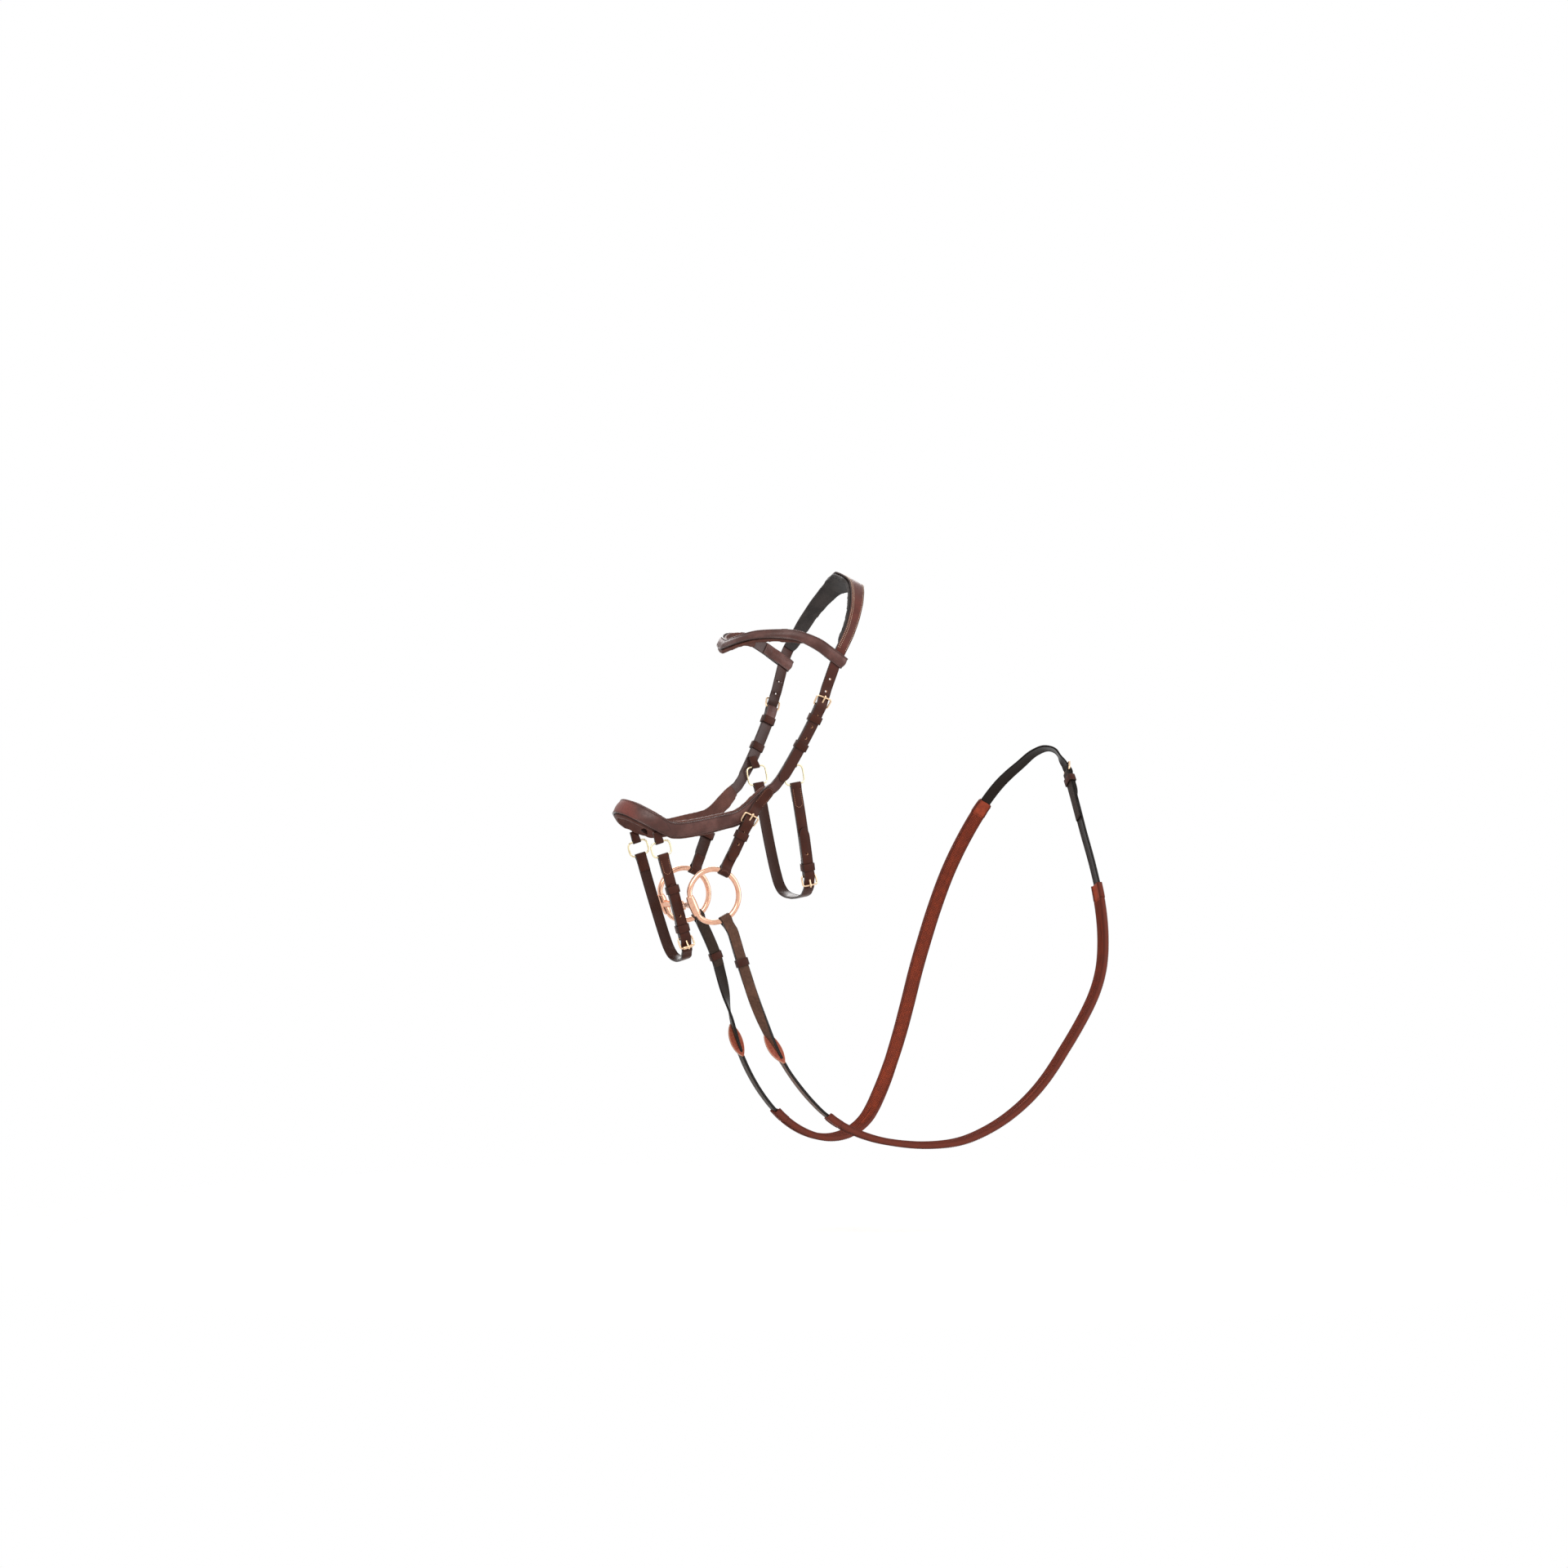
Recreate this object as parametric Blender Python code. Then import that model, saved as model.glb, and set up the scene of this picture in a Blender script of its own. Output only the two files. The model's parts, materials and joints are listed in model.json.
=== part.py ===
"""Anatomic competition bridle with an eggbutt snaffle and rubber-grip reins.

Metres, +Z up. The origin lies under the crown of the headpiece, where it rests on the poll. The nose points
to -X and the near side is -Y. Places on the head are given along two axes in the plane of symmetry: one
runs from the poll to the muzzle, the other from the back of the jaw to the face. Straps lie flat on the two
cheeks, which are planes that come together towards the muzzle, and curve over poll, forehead and nose.
"""

import math
from collections import namedtuple

import bmesh
import bpy
from mathutils import Matrix, Vector

# The head that the bridle fits.
head_length = 0.62
cheek_half_width = 0.1212
cheek_taper = 0.144
head_lean = math.radians(36.6)

# Leather.
crown_width = 0.043
crown_thickness = 0.003
cheek_width = 0.0165
nose_width = 0.0235
noseband_thickness = 0.0034
browband_width = 0.0155
browband_thickness = 0.0030
billet_width = 0.0160
billet_thickness = 0.0025
ply_thickness = 0.0016
pad_thickness = 0.0060
browband_pad_thickness = 0.0040
crown_pad_thickness = 0.0050
keeper_thickness = 0.0014
keeper_length = 0.0110
hole_size = 0.0036
tongue_slot = 0.0042
layer_gap = 0.0003

# Metal.
buckle_wire = 0.0026
buckle_length = 0.0140
buckle_side_gap = 0.0014
roller_wall = 0.0010
tongue_width = 0.0026
tongue_thickness = 0.0012
small_ring_wire = 0.0028
small_ring_width = 0.0300
chin_ring_drop = 0.0210
jaw_ring_drop = 0.0270
small_ring_corner = 0.0065
bit_ring_wire = 0.0078
bit_ring_radius = 0.0385
barrel_length = 0.0340
barrel_diameter = 0.0132
barrel_place = math.radians(204)
arm_diameter = 0.0110
eye_radius = 0.0062
eye_wire = 0.0038
lozenge_length = 0.0180
lozenge_width = 0.0120
lozenge_thickness = 0.0080
link_clearance = 0.0009
running_clearance = 0.0003
ring_play = 0.0015
chin_clearance = 0.01945

# Straps that hang under the jaw and the chin.
jaw_strap_width = 0.0160
jaw_drop = 0.1680
chin_strap_width = 0.0160
chin_drop = 0.1580

# Reins.
rein_width = 0.0160
rein_thickness = 0.0032
grip_width = 0.0205
grip_thickness = 0.0068
stop_length = 0.0500
stop_width = 0.0190
stop_belly_share = 0.82
stop_wall = 0.0024
stop_rim = 0.0020
rein_tip = 0.0450
grip_play = 0.0008
rein_keeper_room = 0.0150

# Fittings: how ends are folded, punched and kept.
strap_thickness = 0.0034
fold_run = 0.0090
fold_tail = 0.0240
hole_spacing = 0.0185
tongue_hole_start = 0.0002
tongue_hole_end = 0.0092
front_billet = 0.0018
billet_ramp = 0.0120
buckle_corner = 0.0030
buckle_flare = 0.06
keeper_corner = 0.0011
runner_play = 0.0003
pad_overhang = 0.0022
pad_recess_room = 0.0050
pad_gap = 0.0007
chape_width = 0.0120
chape_tail = 0.0150
chape_depth = 0.0038
jaw_chape_depth = 0.0080
loop_play = 0.0005
loop_room = 0.0030
brow_lift = 0.0020
arm_bow = -0.0020
lozenge_body = 0.0120
barrel_end_room = 0.0020
rein_tail = 0.0850

# Fineness of the curves, and shares without a size.
route_step = 0.0100
brow_step = 0.0070
swing_step = 0.0090
rein_step = 0.0200
station_merge = 0.0011
tip_blunt = 0.05
punch_fill = 0.96
bit_ring_steps = 28
tongue_curl_steps = 6
eye_steps = 12

# The two axes of the head, and the near cheek.
HEAD_AXIS = Vector((-math.sin(head_lean), 0, -math.cos(head_lean)))
FACE_AXIS = Vector((-math.cos(head_lean), 0, math.sin(head_lean)))
NEAR = Vector((0, -1, 0))
UP = Vector((0, 0, 1))
CHEEK_OUT = (NEAR + HEAD_AXIS * cheek_taper).normalized()

# The crown and the jaw strap hang in these directions, in the plane of symmetry.
CROWN_DOWN = (HEAD_AXIS * 0.983 - FACE_AXIS * 0.182).normalized()
JAW_DOWN = Vector((0.178, 0, -0.984)).normalized()

# Places down the crown and along the head, as shares of its length, and across it, as shares of the half
# width of the cheeks there. The last number is the turn of the surface, from cheek to poll or to face.
# The cheek's places are along the head and towards the face.
crown_shares = (
    (-0.0060, 0.1842, 80),
    (0.0050, 0.3581, 66),
    (0.0300, 0.5320, 48),
    (0.0660, 0.6957, 30),
    (0.1060, 0.8083, 14),
    (0.1400, 0.8543, 4),
)
cheek_shares = (
    (0.172, -0.030),
    (0.201, -0.037),
    (0.258, -0.056),
    (0.323, -0.077),
    (0.403, -0.093),
    (0.505, -0.106),
    (0.545, -0.098),
    (0.577, -0.092),
    (0.627, -0.080),
    (0.664, -0.052),
    (0.712, -0.010),
    (0.748, 0.032),
    (0.757, 0.071),
)
nose_shares = (
    (0.760, 0.094, 0.9065, 24),
    (0.761, 0.113, 0.7451, 45),
    (0.761, 0.129, 0.5122, 60),
    (0.762, 0.139, 0.2565, 75),
    (0.762, 0.142, 0, 90),
)
browband_shares = (
    (0.201, -0.036, 1, 0),
    (0.202, -0.010, 1.0006, 0),
    (0.204, 0.023, 0.9933, 4),
    (0.214, 0.065, 0.9413, 20),
    (0.232, 0.098, 0.8453, 36),
    (0.262, 0.135, 0.6212, 56),
    (0.288, 0.152, 0.3636, 75),
    (0.305, 0.156, 0, 90),
)
hanger_shares = (
    (0.532, -0.099),
    (0.572, -0.098),
    (0.610, -0.098),
    (0.652, -0.106),
    (0.700, -0.117),
    (0.7495, -0.1275),
)

# The straps under jaw and chin, from their ring down: share of the drop, and of the half width at the ring.
jaw_shares = ((0, 1), (0.25, 0.99), (0.50, 0.96), (0.70, 0.91), (0.82, 0.855), (0.90, 0.78), (0.96, 0.62), (0.99, 0.35), (1, 0))
chin_shares = ((0, 1), (0.25, 0.985), (0.50, 0.95), (0.70, 0.90), (0.82, 0.85), (0.90, 0.77), (0.96, 0.60), (0.99, 0.33), (1, 0))

crown_width_shares = ((0, 1), (0.045, 0.80), (0.085, 0.58), (0.13, 0.50), (0.18, 0.43), (0.23, 0.39))
nose_width_shares = (
    (0, 1.02), (0.06, 0.98), (0.12, 0.92), (0.18, 0.86), (0.25, 0.86), (0.31, 0.78), (0.36, 0.71), (0.45, 0.70),
)
brow_width_shares = ((0, 1.16), (0.07, 1.14), (0.13, 0.96), (0.20, 0.88), (0.26, 0.90), (0.32, 1.08))

# Where the fittings sit, as shares of the length of the head from the poll.
loop_share = 0.201
cheek_heel_share = 0.312
cheek_keeper_share = 0.343
cheek_runner_share = 0.412
cheek_tip_share = 0.505
bare_cheek_shares = (0.509, 0.529)
pad_top_share = 0.535
hanger_heel_share = 0.632
hanger_keeper_share = 0.662
hanger_tip_share = 0.723
chin_bar_share = (0.787, 0.037)
jaw_bar_share = (0.457, -0.112)

# Shares of the drop of a hanging strap, from its ring: heel bar, keeper, runner and tip of the billet.
jaw_places_share = (0.800, 0.725, 0, 0.380)
chin_places_share = (0.775, 0.690, 0.320, 0.270)

# The line of the reins over the neck, from the near ring to the crest and from the off ring to it.
near_rein = (
    (-0.204, -0.066, -0.506), (-0.191, -0.075, -0.556), (-0.172, -0.087, -0.622), (-0.144, -0.098, -0.688),
    (-0.110, -0.109, -0.740), (-0.070, -0.119, -0.780), (-0.025, -0.129, -0.803), (0.020, -0.138, -0.814),
    (0.070, -0.148, -0.818), (0.120, -0.157, -0.812), (0.171, -0.162, -0.790), (0.215, -0.164, -0.759),
    (0.249, -0.165, -0.724), (0.278, -0.165, -0.684), (0.306, -0.163, -0.643), (0.330, -0.159, -0.602),
    (0.345, -0.153, -0.560), (0.352, -0.142, -0.510), (0.353, -0.126, -0.459), (0.350, -0.108, -0.412),
    (0.347, -0.086, -0.368), (0.347, -0.060, -0.325), (0.349, -0.034, -0.291),
)
crest_line = ((0.3485, -0.014, -0.2675), (0.346, 0.004, -0.248), (0.337, 0.024, -0.241), (0.325, 0.042, -0.248))
off_rein = (
    (-0.200, 0.066, -0.500), (-0.179, 0.070, -0.542), (-0.162, 0.078, -0.590), (-0.146, 0.087, -0.640),
    (-0.128, 0.094, -0.695), (-0.096, 0.103, -0.748), (-0.057, 0.110, -0.790), (-0.016, 0.116, -0.815),
    (0.025, 0.121, -0.824), (0.061, 0.126, -0.817), (0.090, 0.131, -0.797), (0.112, 0.136, -0.762),
    (0.130, 0.140, -0.722), (0.147, 0.144, -0.676), (0.162, 0.147, -0.628), (0.176, 0.148, -0.578),
    (0.191, 0.148, -0.530), (0.207, 0.146, -0.481), (0.225, 0.138, -0.428), (0.246, 0.124, -0.376),
    (0.269, 0.104, -0.327), (0.290, 0.082, -0.291), (0.310, 0.060, -0.266),
)
# Each rein lies with its side outwards at first and turns flat to the loop before its stop, between two places
# on its line, counted from its ring. The off rein turns back as it rises, and near the crest it turns up and
# over on to the other side.
near_turn = (2.2, 3.8)
off_turn = (2.6, 4.3)
off_back = (8.6, 15.2)
off_rise = (21, 26)
crest_outs = ((1, 0, 0.09), (0.80, -0.05, 0.60), (0.35, 0.20, 0.92), (0.05, 0.60, 0.80))
rein_middle = Vector((0.090, 0, -0.560))

# Where the reins' pieces sit, as shares of each rein's own length from its ring.
rein_stop_share = 0.166
rein_keeper_share = 0.056
grip_start_share = 0.270
grip_end_share = 0.840

Station = namedtuple("Station", "place out side half_width half_thickness cut")
Turn = namedtuple("Turn", "origin x y z")


def on_head(u, v, w):
    """A place at u along the head, v towards the face and w to the near side."""
    return HEAD_AXIS * u + FACE_AXIS * v + NEAR * w


def on_cheek(u, v):
    """A place on the near cheek plane."""
    return on_head(u, v, cheek_half_width - cheek_taper * u)


def across(u, v, w):
    """A place at shares of the head's length, and at a share of the half width of the cheeks there."""
    along = u * head_length
    return on_head(along, v * head_length, w * (cheek_half_width - cheek_taper * along))


def turned(degrees, end=FACE_AXIS):
    """The outward direction that is so far round from the cheek to the end direction."""
    angle = math.radians(degrees)
    return (CHEEK_OUT * math.cos(angle) + end * math.sin(angle)).normalized()


def mirrored(vector):
    return Vector((vector.x, -vector.y, vector.z))


def value(f, s):
    return f(s) if callable(f) else f


def table(pairs):
    """A function that runs smoothly through pairs of place and value, and is level past both ends."""

    def read(s):
        if s <= pairs[0][0]:
            return pairs[0][1]
        for (a, p), (b, q) in zip(pairs, pairs[1:]):
            if s <= b:
                t = (s - a) / (b - a)
                t = t * t * (3 - 2 * t)
                return p + (q - p) * t
        return pairs[-1][1]

    return read


def passed(place, span):
    """How far a place has come through a span, from 0 to 1."""
    return min(1, max(0, (place - span[0]) / (span[1] - span[0])))


def catmull(values, i, t):
    """The value at t between number i and the next, on a smooth curve through all of them."""
    p1, p2 = values[i], values[i + 1]
    p0 = values[i - 1] if i else p1 * 2 - p2
    p3 = values[i + 2] if i + 2 < len(values) else p2 * 2 - p1
    a = p1 * 2 + (p2 - p0) * t
    b = (p0 * 2 - p1 * 5 + p2 * 4 - p3) * t ** 2
    c = (p1 * 3 - p0 - p2 * 3 + p3) * t ** 3
    return (a + b + c) / 2


class Route:
    """A line that straps follow, kept as short straight runs, so that layers on it stay parallel."""

    def __init__(self, places, outs, start=0.0):
        self.places, self.outs, self.sides, self.along = places, [], [], [start]
        for a, b in zip(places, places[1:]):
            self.along.append(self.along[-1] + (b - a).length)
        last = len(places) - 1
        for i, out in enumerate(outs):
            run = (places[min(i + 1, last)] - places[max(i - 1, 0)]).normalized()
            out = (out - run * out.dot(run)).normalized()
            self.outs.append(out)
            self.sides.append(out.cross(run))

    @classmethod
    def through(cls, places, outs, step):
        """A smooth route through a few places, with a corner about every step."""
        fine, turns = [], []
        for i in range(len(places) - 1):
            count = max(1, round((places[i + 1] - places[i]).length / step))
            for k in range(count):
                fine.append(catmull(places, i, k / count))
                turns.append(catmull(outs, i, k / count).normalized())
        return cls(fine + [places[-1]], turns + [outs[-1]])

    def whole(self):
        """The route and its mirror image, which meet in the plane of symmetry at the route's start."""
        places = [mirrored(p) for p in reversed(self.places[1:])] + self.places
        outs = [mirrored(n) for n in reversed(self.outs[1:])] + self.outs
        return Route(places, outs, -self.along[-1])

    def backwards(self):
        return Route(self.places[::-1], self.outs[::-1])

    def cell(self, s):
        i = 0
        while i < len(self.along) - 2 and s > self.along[i + 1]:
            i += 1
        return i, (s - self.along[i]) / (self.along[i + 1] - self.along[i])

    def at(self, s):
        """Place, outward direction and side direction at s."""
        i, t = self.cell(s)
        return tuple(v[i].lerp(v[i + 1], t) for v in (self.places, self.outs, self.sides))

    def turn(self, s, lift, toward):
        """A frame at s, with x along the route, forwards or backwards, and z outward."""
        place, out, side = self.at(s)
        z = out.normalized()
        x = side.cross(z).normalized() * toward
        return Turn(place + z * lift, x, z.cross(x), z)

    def nearest(self, place):
        """The distance along the route at which it passes nearest to a place."""
        best = None
        for i, (a, b) in enumerate(zip(self.places, self.places[1:])):
            run = b - a
            t = min(1, max(0, (place - a).dot(run) / run.length_squared))
            miss = (a + run * t - place).length
            if best is None or miss < best[0]:
                best = miss, self.along[i] + run.length * t
        return best[1]


def lay(route, start, end, half_width, thickness, lift, cuts=(), extra=()):
    """Stations of a strap on a route from start to end; each cut is a start, an end and its kind."""
    low, high = min(start, end), max(start, end)
    fixed = {low, high}
    for a, b, _ in cuts:
        fixed |= {s for s in (a, b) if low <= s <= high}
    punched = [(min(a, b), max(a, b)) for a, b, kind in cuts if kind == "punch"]
    extra = [s for s in extra if not any(a < s < b for a, b in punched)]
    fixed |= {s for s in extra if low < s < high}
    free = [s for s in route.along if low < s < high]
    free = [s for s in free if all(abs(s - f) > station_merge for f in fixed)]
    free = [s for s in free if not any(a < s < b for a, b in punched)]
    spots = sorted(fixed | set(free), reverse=end < start)
    way = 1 if end > start else -1
    stations = []
    for i, s in enumerate(spots):
        place, out, side = route.at(s)
        middle = (s + spots[i + 1]) / 2 if i + 1 < len(spots) else s
        cut = next((kind for a, b, kind in cuts if min(a, b) < middle < max(a, b)), None)
        stations.append(Station(
            place + out * value(lift, s), out, side * way,
            value(half_width, s), value(thickness, s) / 2, cut,
        ))
    return stations


def turned_over(stations):
    """The same stations, for the ply that runs back behind a fold."""
    return [s._replace(out=-s.out, side=-s.side) for s in stations]


def round_bar(turn, radius, half_width, thickness, cut=None, steps=4):
    """Stations of a ply that passes round a bar at the frame's origin, from its inner to its outer side."""
    stations = []
    for k in range(steps + 1):
        angle = math.radians(-90) - math.pi * k / steps
        out = turn.x * math.cos(angle) + turn.z * math.sin(angle)
        stations.append(Station(
            turn.origin + out * radius, out, turn.z.cross(turn.x), half_width, thickness / 2, cut,
        ))
    return stations


def fold_radius(bar_diameter, play):
    """The middle of a ply that passes round a bar with some play."""
    return bar_diameter / 2 + play + ply_thickness / 2


def fold_lift(bar_diameter, play):
    """How the middle of a strap rises to its outer ply at a fold, by distance from the bar."""
    radius = fold_radius(bar_diameter, play)
    return table(((0, radius), (fold_run, 0)))


def fold_thickness(body):
    return table(((0, ply_thickness), (fold_run, body)))


def folded_strap(route, start, end, half_width, body, folds, tail, base=0.0, cuts=(), extra=()):
    """Stations of a strap between two ends; folds gives each folded end's bar diameter, play and slot."""
    way = 1 if end > start else -1
    lifts, thicks, marks = [], [], list(extra)
    for spot, fold in ((start, folds[0]), (end, folds[1])):
        if fold:
            rise, thin = fold_lift(fold[0], fold[1]), fold_thickness(body)
            lifts.append(lambda s, spot=spot, rise=rise: rise(abs(s - spot)))
            thicks.append(lambda s, spot=spot, thin=thin: thin(abs(s - spot)))
            marks += [spot + fold_run * share for share in (-1, -0.66, -0.33, 0.33, 0.66, 1)]

    def lift(s):
        return value(base, s) + sum(rise(s) for rise in lifts)

    def thickness(s):
        return min([body] + [thin(s) for thin in thicks])

    slots = list(cuts)
    for spot, fold, sign in ((start, folds[0], way), (end, folds[1], -way)):
        if fold and fold[2]:
            a, b = sorted((spot, spot + sign * fold[2]))
            slots.append((a, b, "slot"))
    stations = []
    if folds[0]:
        stations += fold_end(route, start, way, half_width, body, folds[0], tail, base)
    stations += lay(route, start, end, half_width, thickness, lift, slots, marks)
    if folds[1] and folds[1][2]:
        stations[-1] = stations[-1]._replace(cut="slot")
    if folds[1]:
        back = fold_end(route, end, -way, half_width, body, folds[1], tail, base)
        back = [s._replace(side=-s.side) for s in reversed(back)]
        stations += shifted_cuts(back)
    return stations


def shifted_cuts(stations):
    """A cut belongs to the cell after its station, so it moves by one where the order is turned round."""
    cuts = [s.cut for s in stations[1:]] + [None]
    return [s._replace(cut=cut) for s, cut in zip(stations, cuts)]


def fold_end(route, spot, way, half_width, body, fold, tail, base):
    """The tail and the turn of a folded end, from the tail's edge to the outer side of the bar."""
    bar, play, slot = fold
    radius = fold_radius(bar, play)
    level = value(base, spot)
    rest = body / 2 + layer_gap + ply_thickness / 2
    drop = table(((0, radius), (fold_run, rest)))
    cuts = [(spot, spot + way * slot, "slot")] if slot else []
    marks = [spot + way * fold_run * share for share in (0.33, 0.66, 1)]
    back = lay(
        route, spot + way * tail, spot, half_width, ply_thickness,
        lambda s: value(base, s) - drop(abs(s - spot)), cuts, marks,
    )
    width = value(half_width, spot)
    wrap = round_bar(route.turn(spot, level, way), radius, width, ply_thickness, "slot" if slot else None)
    return turned_over(back[:-1]) + wrap[:-1]


def pointed(end, half_width, length, way):
    """A half width that narrows to a strap's point at its end."""

    def read(s):
        gone = max(0.0, 1 - abs(end - s) / length)
        if (end - s) * way < 0:
            gone = 1.0
        return value(half_width, s) * math.sqrt(max(tip_blunt, 1 - gone ** 2))

    return read


def point_marks(end, length, way):
    return [end - way * length * share for share in (0.12, 0.3, 0.55, 0.8, 1)]


def punches(places, size):
    return [(s - size / 2, s + size / 2, "punch") for s in places]


def new_object(name, verts, faces, finish, angle=35):
    """An object from points and faces, with its faces pointing out and its round parts smooth."""
    mesh = bpy.data.meshes.new(name)
    shape = bmesh.new()
    corners = [shape.verts.new(v) for v in verts]
    for face in faces:
        shape.faces.new([corners[i] for i in face])
    loose = [v for v in shape.verts if not v.link_faces]
    bmesh.ops.delete(shape, geom=loose, context="VERTS")
    bmesh.ops.recalc_face_normals(shape, faces=shape.faces)
    shape.to_mesh(mesh)
    shape.free()
    mesh.shade_smooth()
    mesh.set_sharp_from_angle(angle=math.radians(angle))
    mesh.materials.append(finishes[finish])
    thing = bpy.data.objects.new(name, mesh)
    bpy.context.scene.collection.objects.link(thing)
    return thing


def punched_cell(points, a, b, c, d):
    """Faces round an eight-sided hole in a cell, and the hole's corners, added to the cell's points."""
    ring = []
    for k in range(8):
        angle = math.radians(45 * k - 157.5)
        x, y = (0.5 + 0.5 * punch_fill * f(angle) for f in (math.cos, math.sin))
        ring.append(len(points))
        low = [p.lerp(q, x) for p, q in zip(points[a], points[b])]
        high = [p.lerp(q, x) for p, q in zip(points[d], points[c])]
        points.append(tuple(p.lerp(q, y) for p, q in zip(low, high)))
    sides = [(a, b, ring[2], ring[1]), (b, c, ring[4], ring[3]), (c, d, ring[6], ring[5]), (d, a, ring[0], ring[7])]
    corners = [(b, ring[3], ring[2]), (c, ring[5], ring[4]), (d, ring[7], ring[6]), (a, ring[1], ring[0])]
    return sides + corners


def ribbon(name, stations, finish, closed=False):
    """A closed solid of a flat strap through its stations, with its slots and holes cut through.

    A row has two inner points as well only where a cut lies before or after it.
    """
    points, rows = [], []
    count = len(stations)
    for i, s in enumerate(stations):
        inner = min(tongue_slot / 2, s.half_width * 0.5)
        across = (-s.half_width, s.half_width)
        if s.cut or (stations[i - 1].cut and (i or closed)):
            across = (-s.half_width, -inner, inner, s.half_width)
        row = []
        for w in across:
            middle = s.place + s.side * w
            row.append(len(points))
            points.append((middle + s.out * s.half_thickness, middle - s.out * s.half_thickness))
        rows.append(row)
    faces = []
    for i in range(count if closed else count - 1):
        near, far = rows[i], rows[(i + 1) % count]
        if not stations[i].cut:
            faces.append(tuple([near[0]] + far + near[:0:-1]))
            continue
        faces.append((near[0], far[0], far[1], near[1]))
        faces.append((near[2], far[2], far[3], near[3]))
        if stations[i].cut == "punch":
            faces += punched_cell(points, near[1], far[1], far[2], near[2])
    edges = {(f[i], f[(i + 1) % len(f)]) for f in faces for i in range(len(f))}
    total = len(points)
    solid = [tuple(f) for f in faces] + [tuple(i + total for i in reversed(f)) for f in faces]
    solid += [(b, a, a + total, b + total) for a, b in edges if (b, a) not in edges]
    return new_object(name, [p[0] for p in points] + [p[1] for p in points], solid, finish)


def tube(name, path, binormal, half_sizes, finish, sides=8, closed=False):
    """A round bar along a flat path; half_sizes gives its half thickness in the path's plane and across it."""
    verts, faces = [], []
    rows = len(path)
    for i, p in enumerate(path):
        before = path[i - 1] if i or closed else path[i]
        after = path[(i + 1) % rows] if i < rows - 1 or closed else path[i]
        normal = binormal.cross((after - before).normalized())
        flat, across = value(half_sizes, i) if callable(half_sizes) else half_sizes
        for k in range(sides):
            angle = 2 * math.pi * (k + 0.5) / sides
            verts.append(p + normal * flat * math.cos(angle) + binormal * across * math.sin(angle))
    for i in range(rows if closed else rows - 1):
        for k in range(sides):
            a, b = i * sides, (i + 1) % rows * sides
            faces.append((a + k, a + (k + 1) % sides, b + (k + 1) % sides, b + k))
    if not closed:
        faces.append(tuple(range(sides)))
        faces.append(tuple(reversed(range((rows - 1) * sides, rows * sides))))
    return new_object(name, verts, faces, finish, 50)


def rounded_rectangle(length, width, corner, steps=3):
    """Corners of a closed path in a plane, centred, counted round from its +x side."""
    path = []
    for quarter in range(4):
        centre_x = (length / 2 - corner) * (1 if quarter in (0, 3) else -1)
        centre_y = (width / 2 - corner) * (1 if quarter in (0, 1) else -1)
        for k in range(steps + 1):
            angle = math.radians(90) * (quarter + k / steps)
            path.append((centre_x + corner * math.cos(angle), centre_y + corner * math.sin(angle)))
    return path


def revolved(name, turn, profile, finish, sides=12):
    """A ring-shaped or round solid from a closed profile of distance along x and radius."""
    verts, faces = [], []
    for along, radius in profile:
        for k in range(sides):
            angle = 2 * math.pi * k / sides
            around = turn.y * math.cos(angle) + turn.z * math.sin(angle)
            verts.append(turn.origin + turn.x * along + around * radius)
    rows = len(profile)
    for i in range(rows):
        for k in range(sides):
            a, b = i * sides, (i + 1) % rows * sides
            faces.append((a + k, a + (k + 1) % sides, b + (k + 1) % sides, b + k))
    return new_object(name, verts, faces, finish, 40)


def united(name, things, finish):
    """One solid from several that overlap, which replaces them."""
    body = things[0]
    for other in things[1:]:
        union = body.modifiers.new("union", "BOOLEAN")
        union.operation = "UNION"
        union.object = other
    bpy.context.view_layer.update()
    shown = body.evaluated_get(bpy.context.evaluated_depsgraph_get())
    mesh = bpy.data.meshes.new_from_object(shown)
    for thing in things:
        bpy.data.objects.remove(thing)
    mesh.name = name
    mesh.materials.clear()
    mesh.materials.append(finishes[finish])
    result = bpy.data.objects.new(name, mesh)
    bpy.context.scene.collection.objects.link(result)
    return result


def mirror_copy(thing, name):
    """The same piece on the off side."""
    mesh = thing.data.copy()
    mesh.transform(Matrix.Scale(-1, 4, Vector((0, 1, 0))))
    mesh.flip_normals()
    copy = bpy.data.objects.new(name, mesh)
    bpy.context.scene.collection.objects.link(copy)
    return copy


def hang_on(thing, point):
    """Gives a moving piece its origin on its joint's axis."""
    thing.data.transform(Matrix.Translation(-point))
    thing.location = point
    return thing


def lift_of(place):
    """How far a place stands out from the near cheek plane."""
    return (place - on_cheek(0, 0)).dot(CHEEK_OUT)


def on_route(route, share):
    """The distance along a route at which it is so far down the head."""
    goal = share * head_length
    for i, (a, b) in enumerate(zip(route.places, route.places[1:])):
        low, high = a.dot(HEAD_AXIS), b.dot(HEAD_AXIS)
        if low <= goal <= high:
            return route.along[i] + (route.along[i + 1] - route.along[i]) * (goal - low) / (high - low)
    return route.along[-1]


def billet_lift(heel, way, before, under=noseband_thickness):
    """How a billet rises over the fold at a buckle's heel bar, by distance along its route.

    It passes under the front bar, on the side that way names, over the fold, and lies on the strap behind.
    """
    half = billet_thickness / 2
    on_strap = under / 2 + layer_gap + half
    on_fold = fold_radius(buckle_wire, running_clearance) + ply_thickness / 2 + layer_gap + half
    level = table((
        (-fold_run, on_strap),
        (-buckle_wire, on_fold),
        (buckle_wire / 2, on_fold),
        (buckle_length - buckle_wire, front_billet),
        (buckle_length + buckle_wire, front_billet),
        (buckle_length + buckle_wire + billet_ramp, before),
    ))
    return lambda s: level((s - heel) * way)


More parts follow.
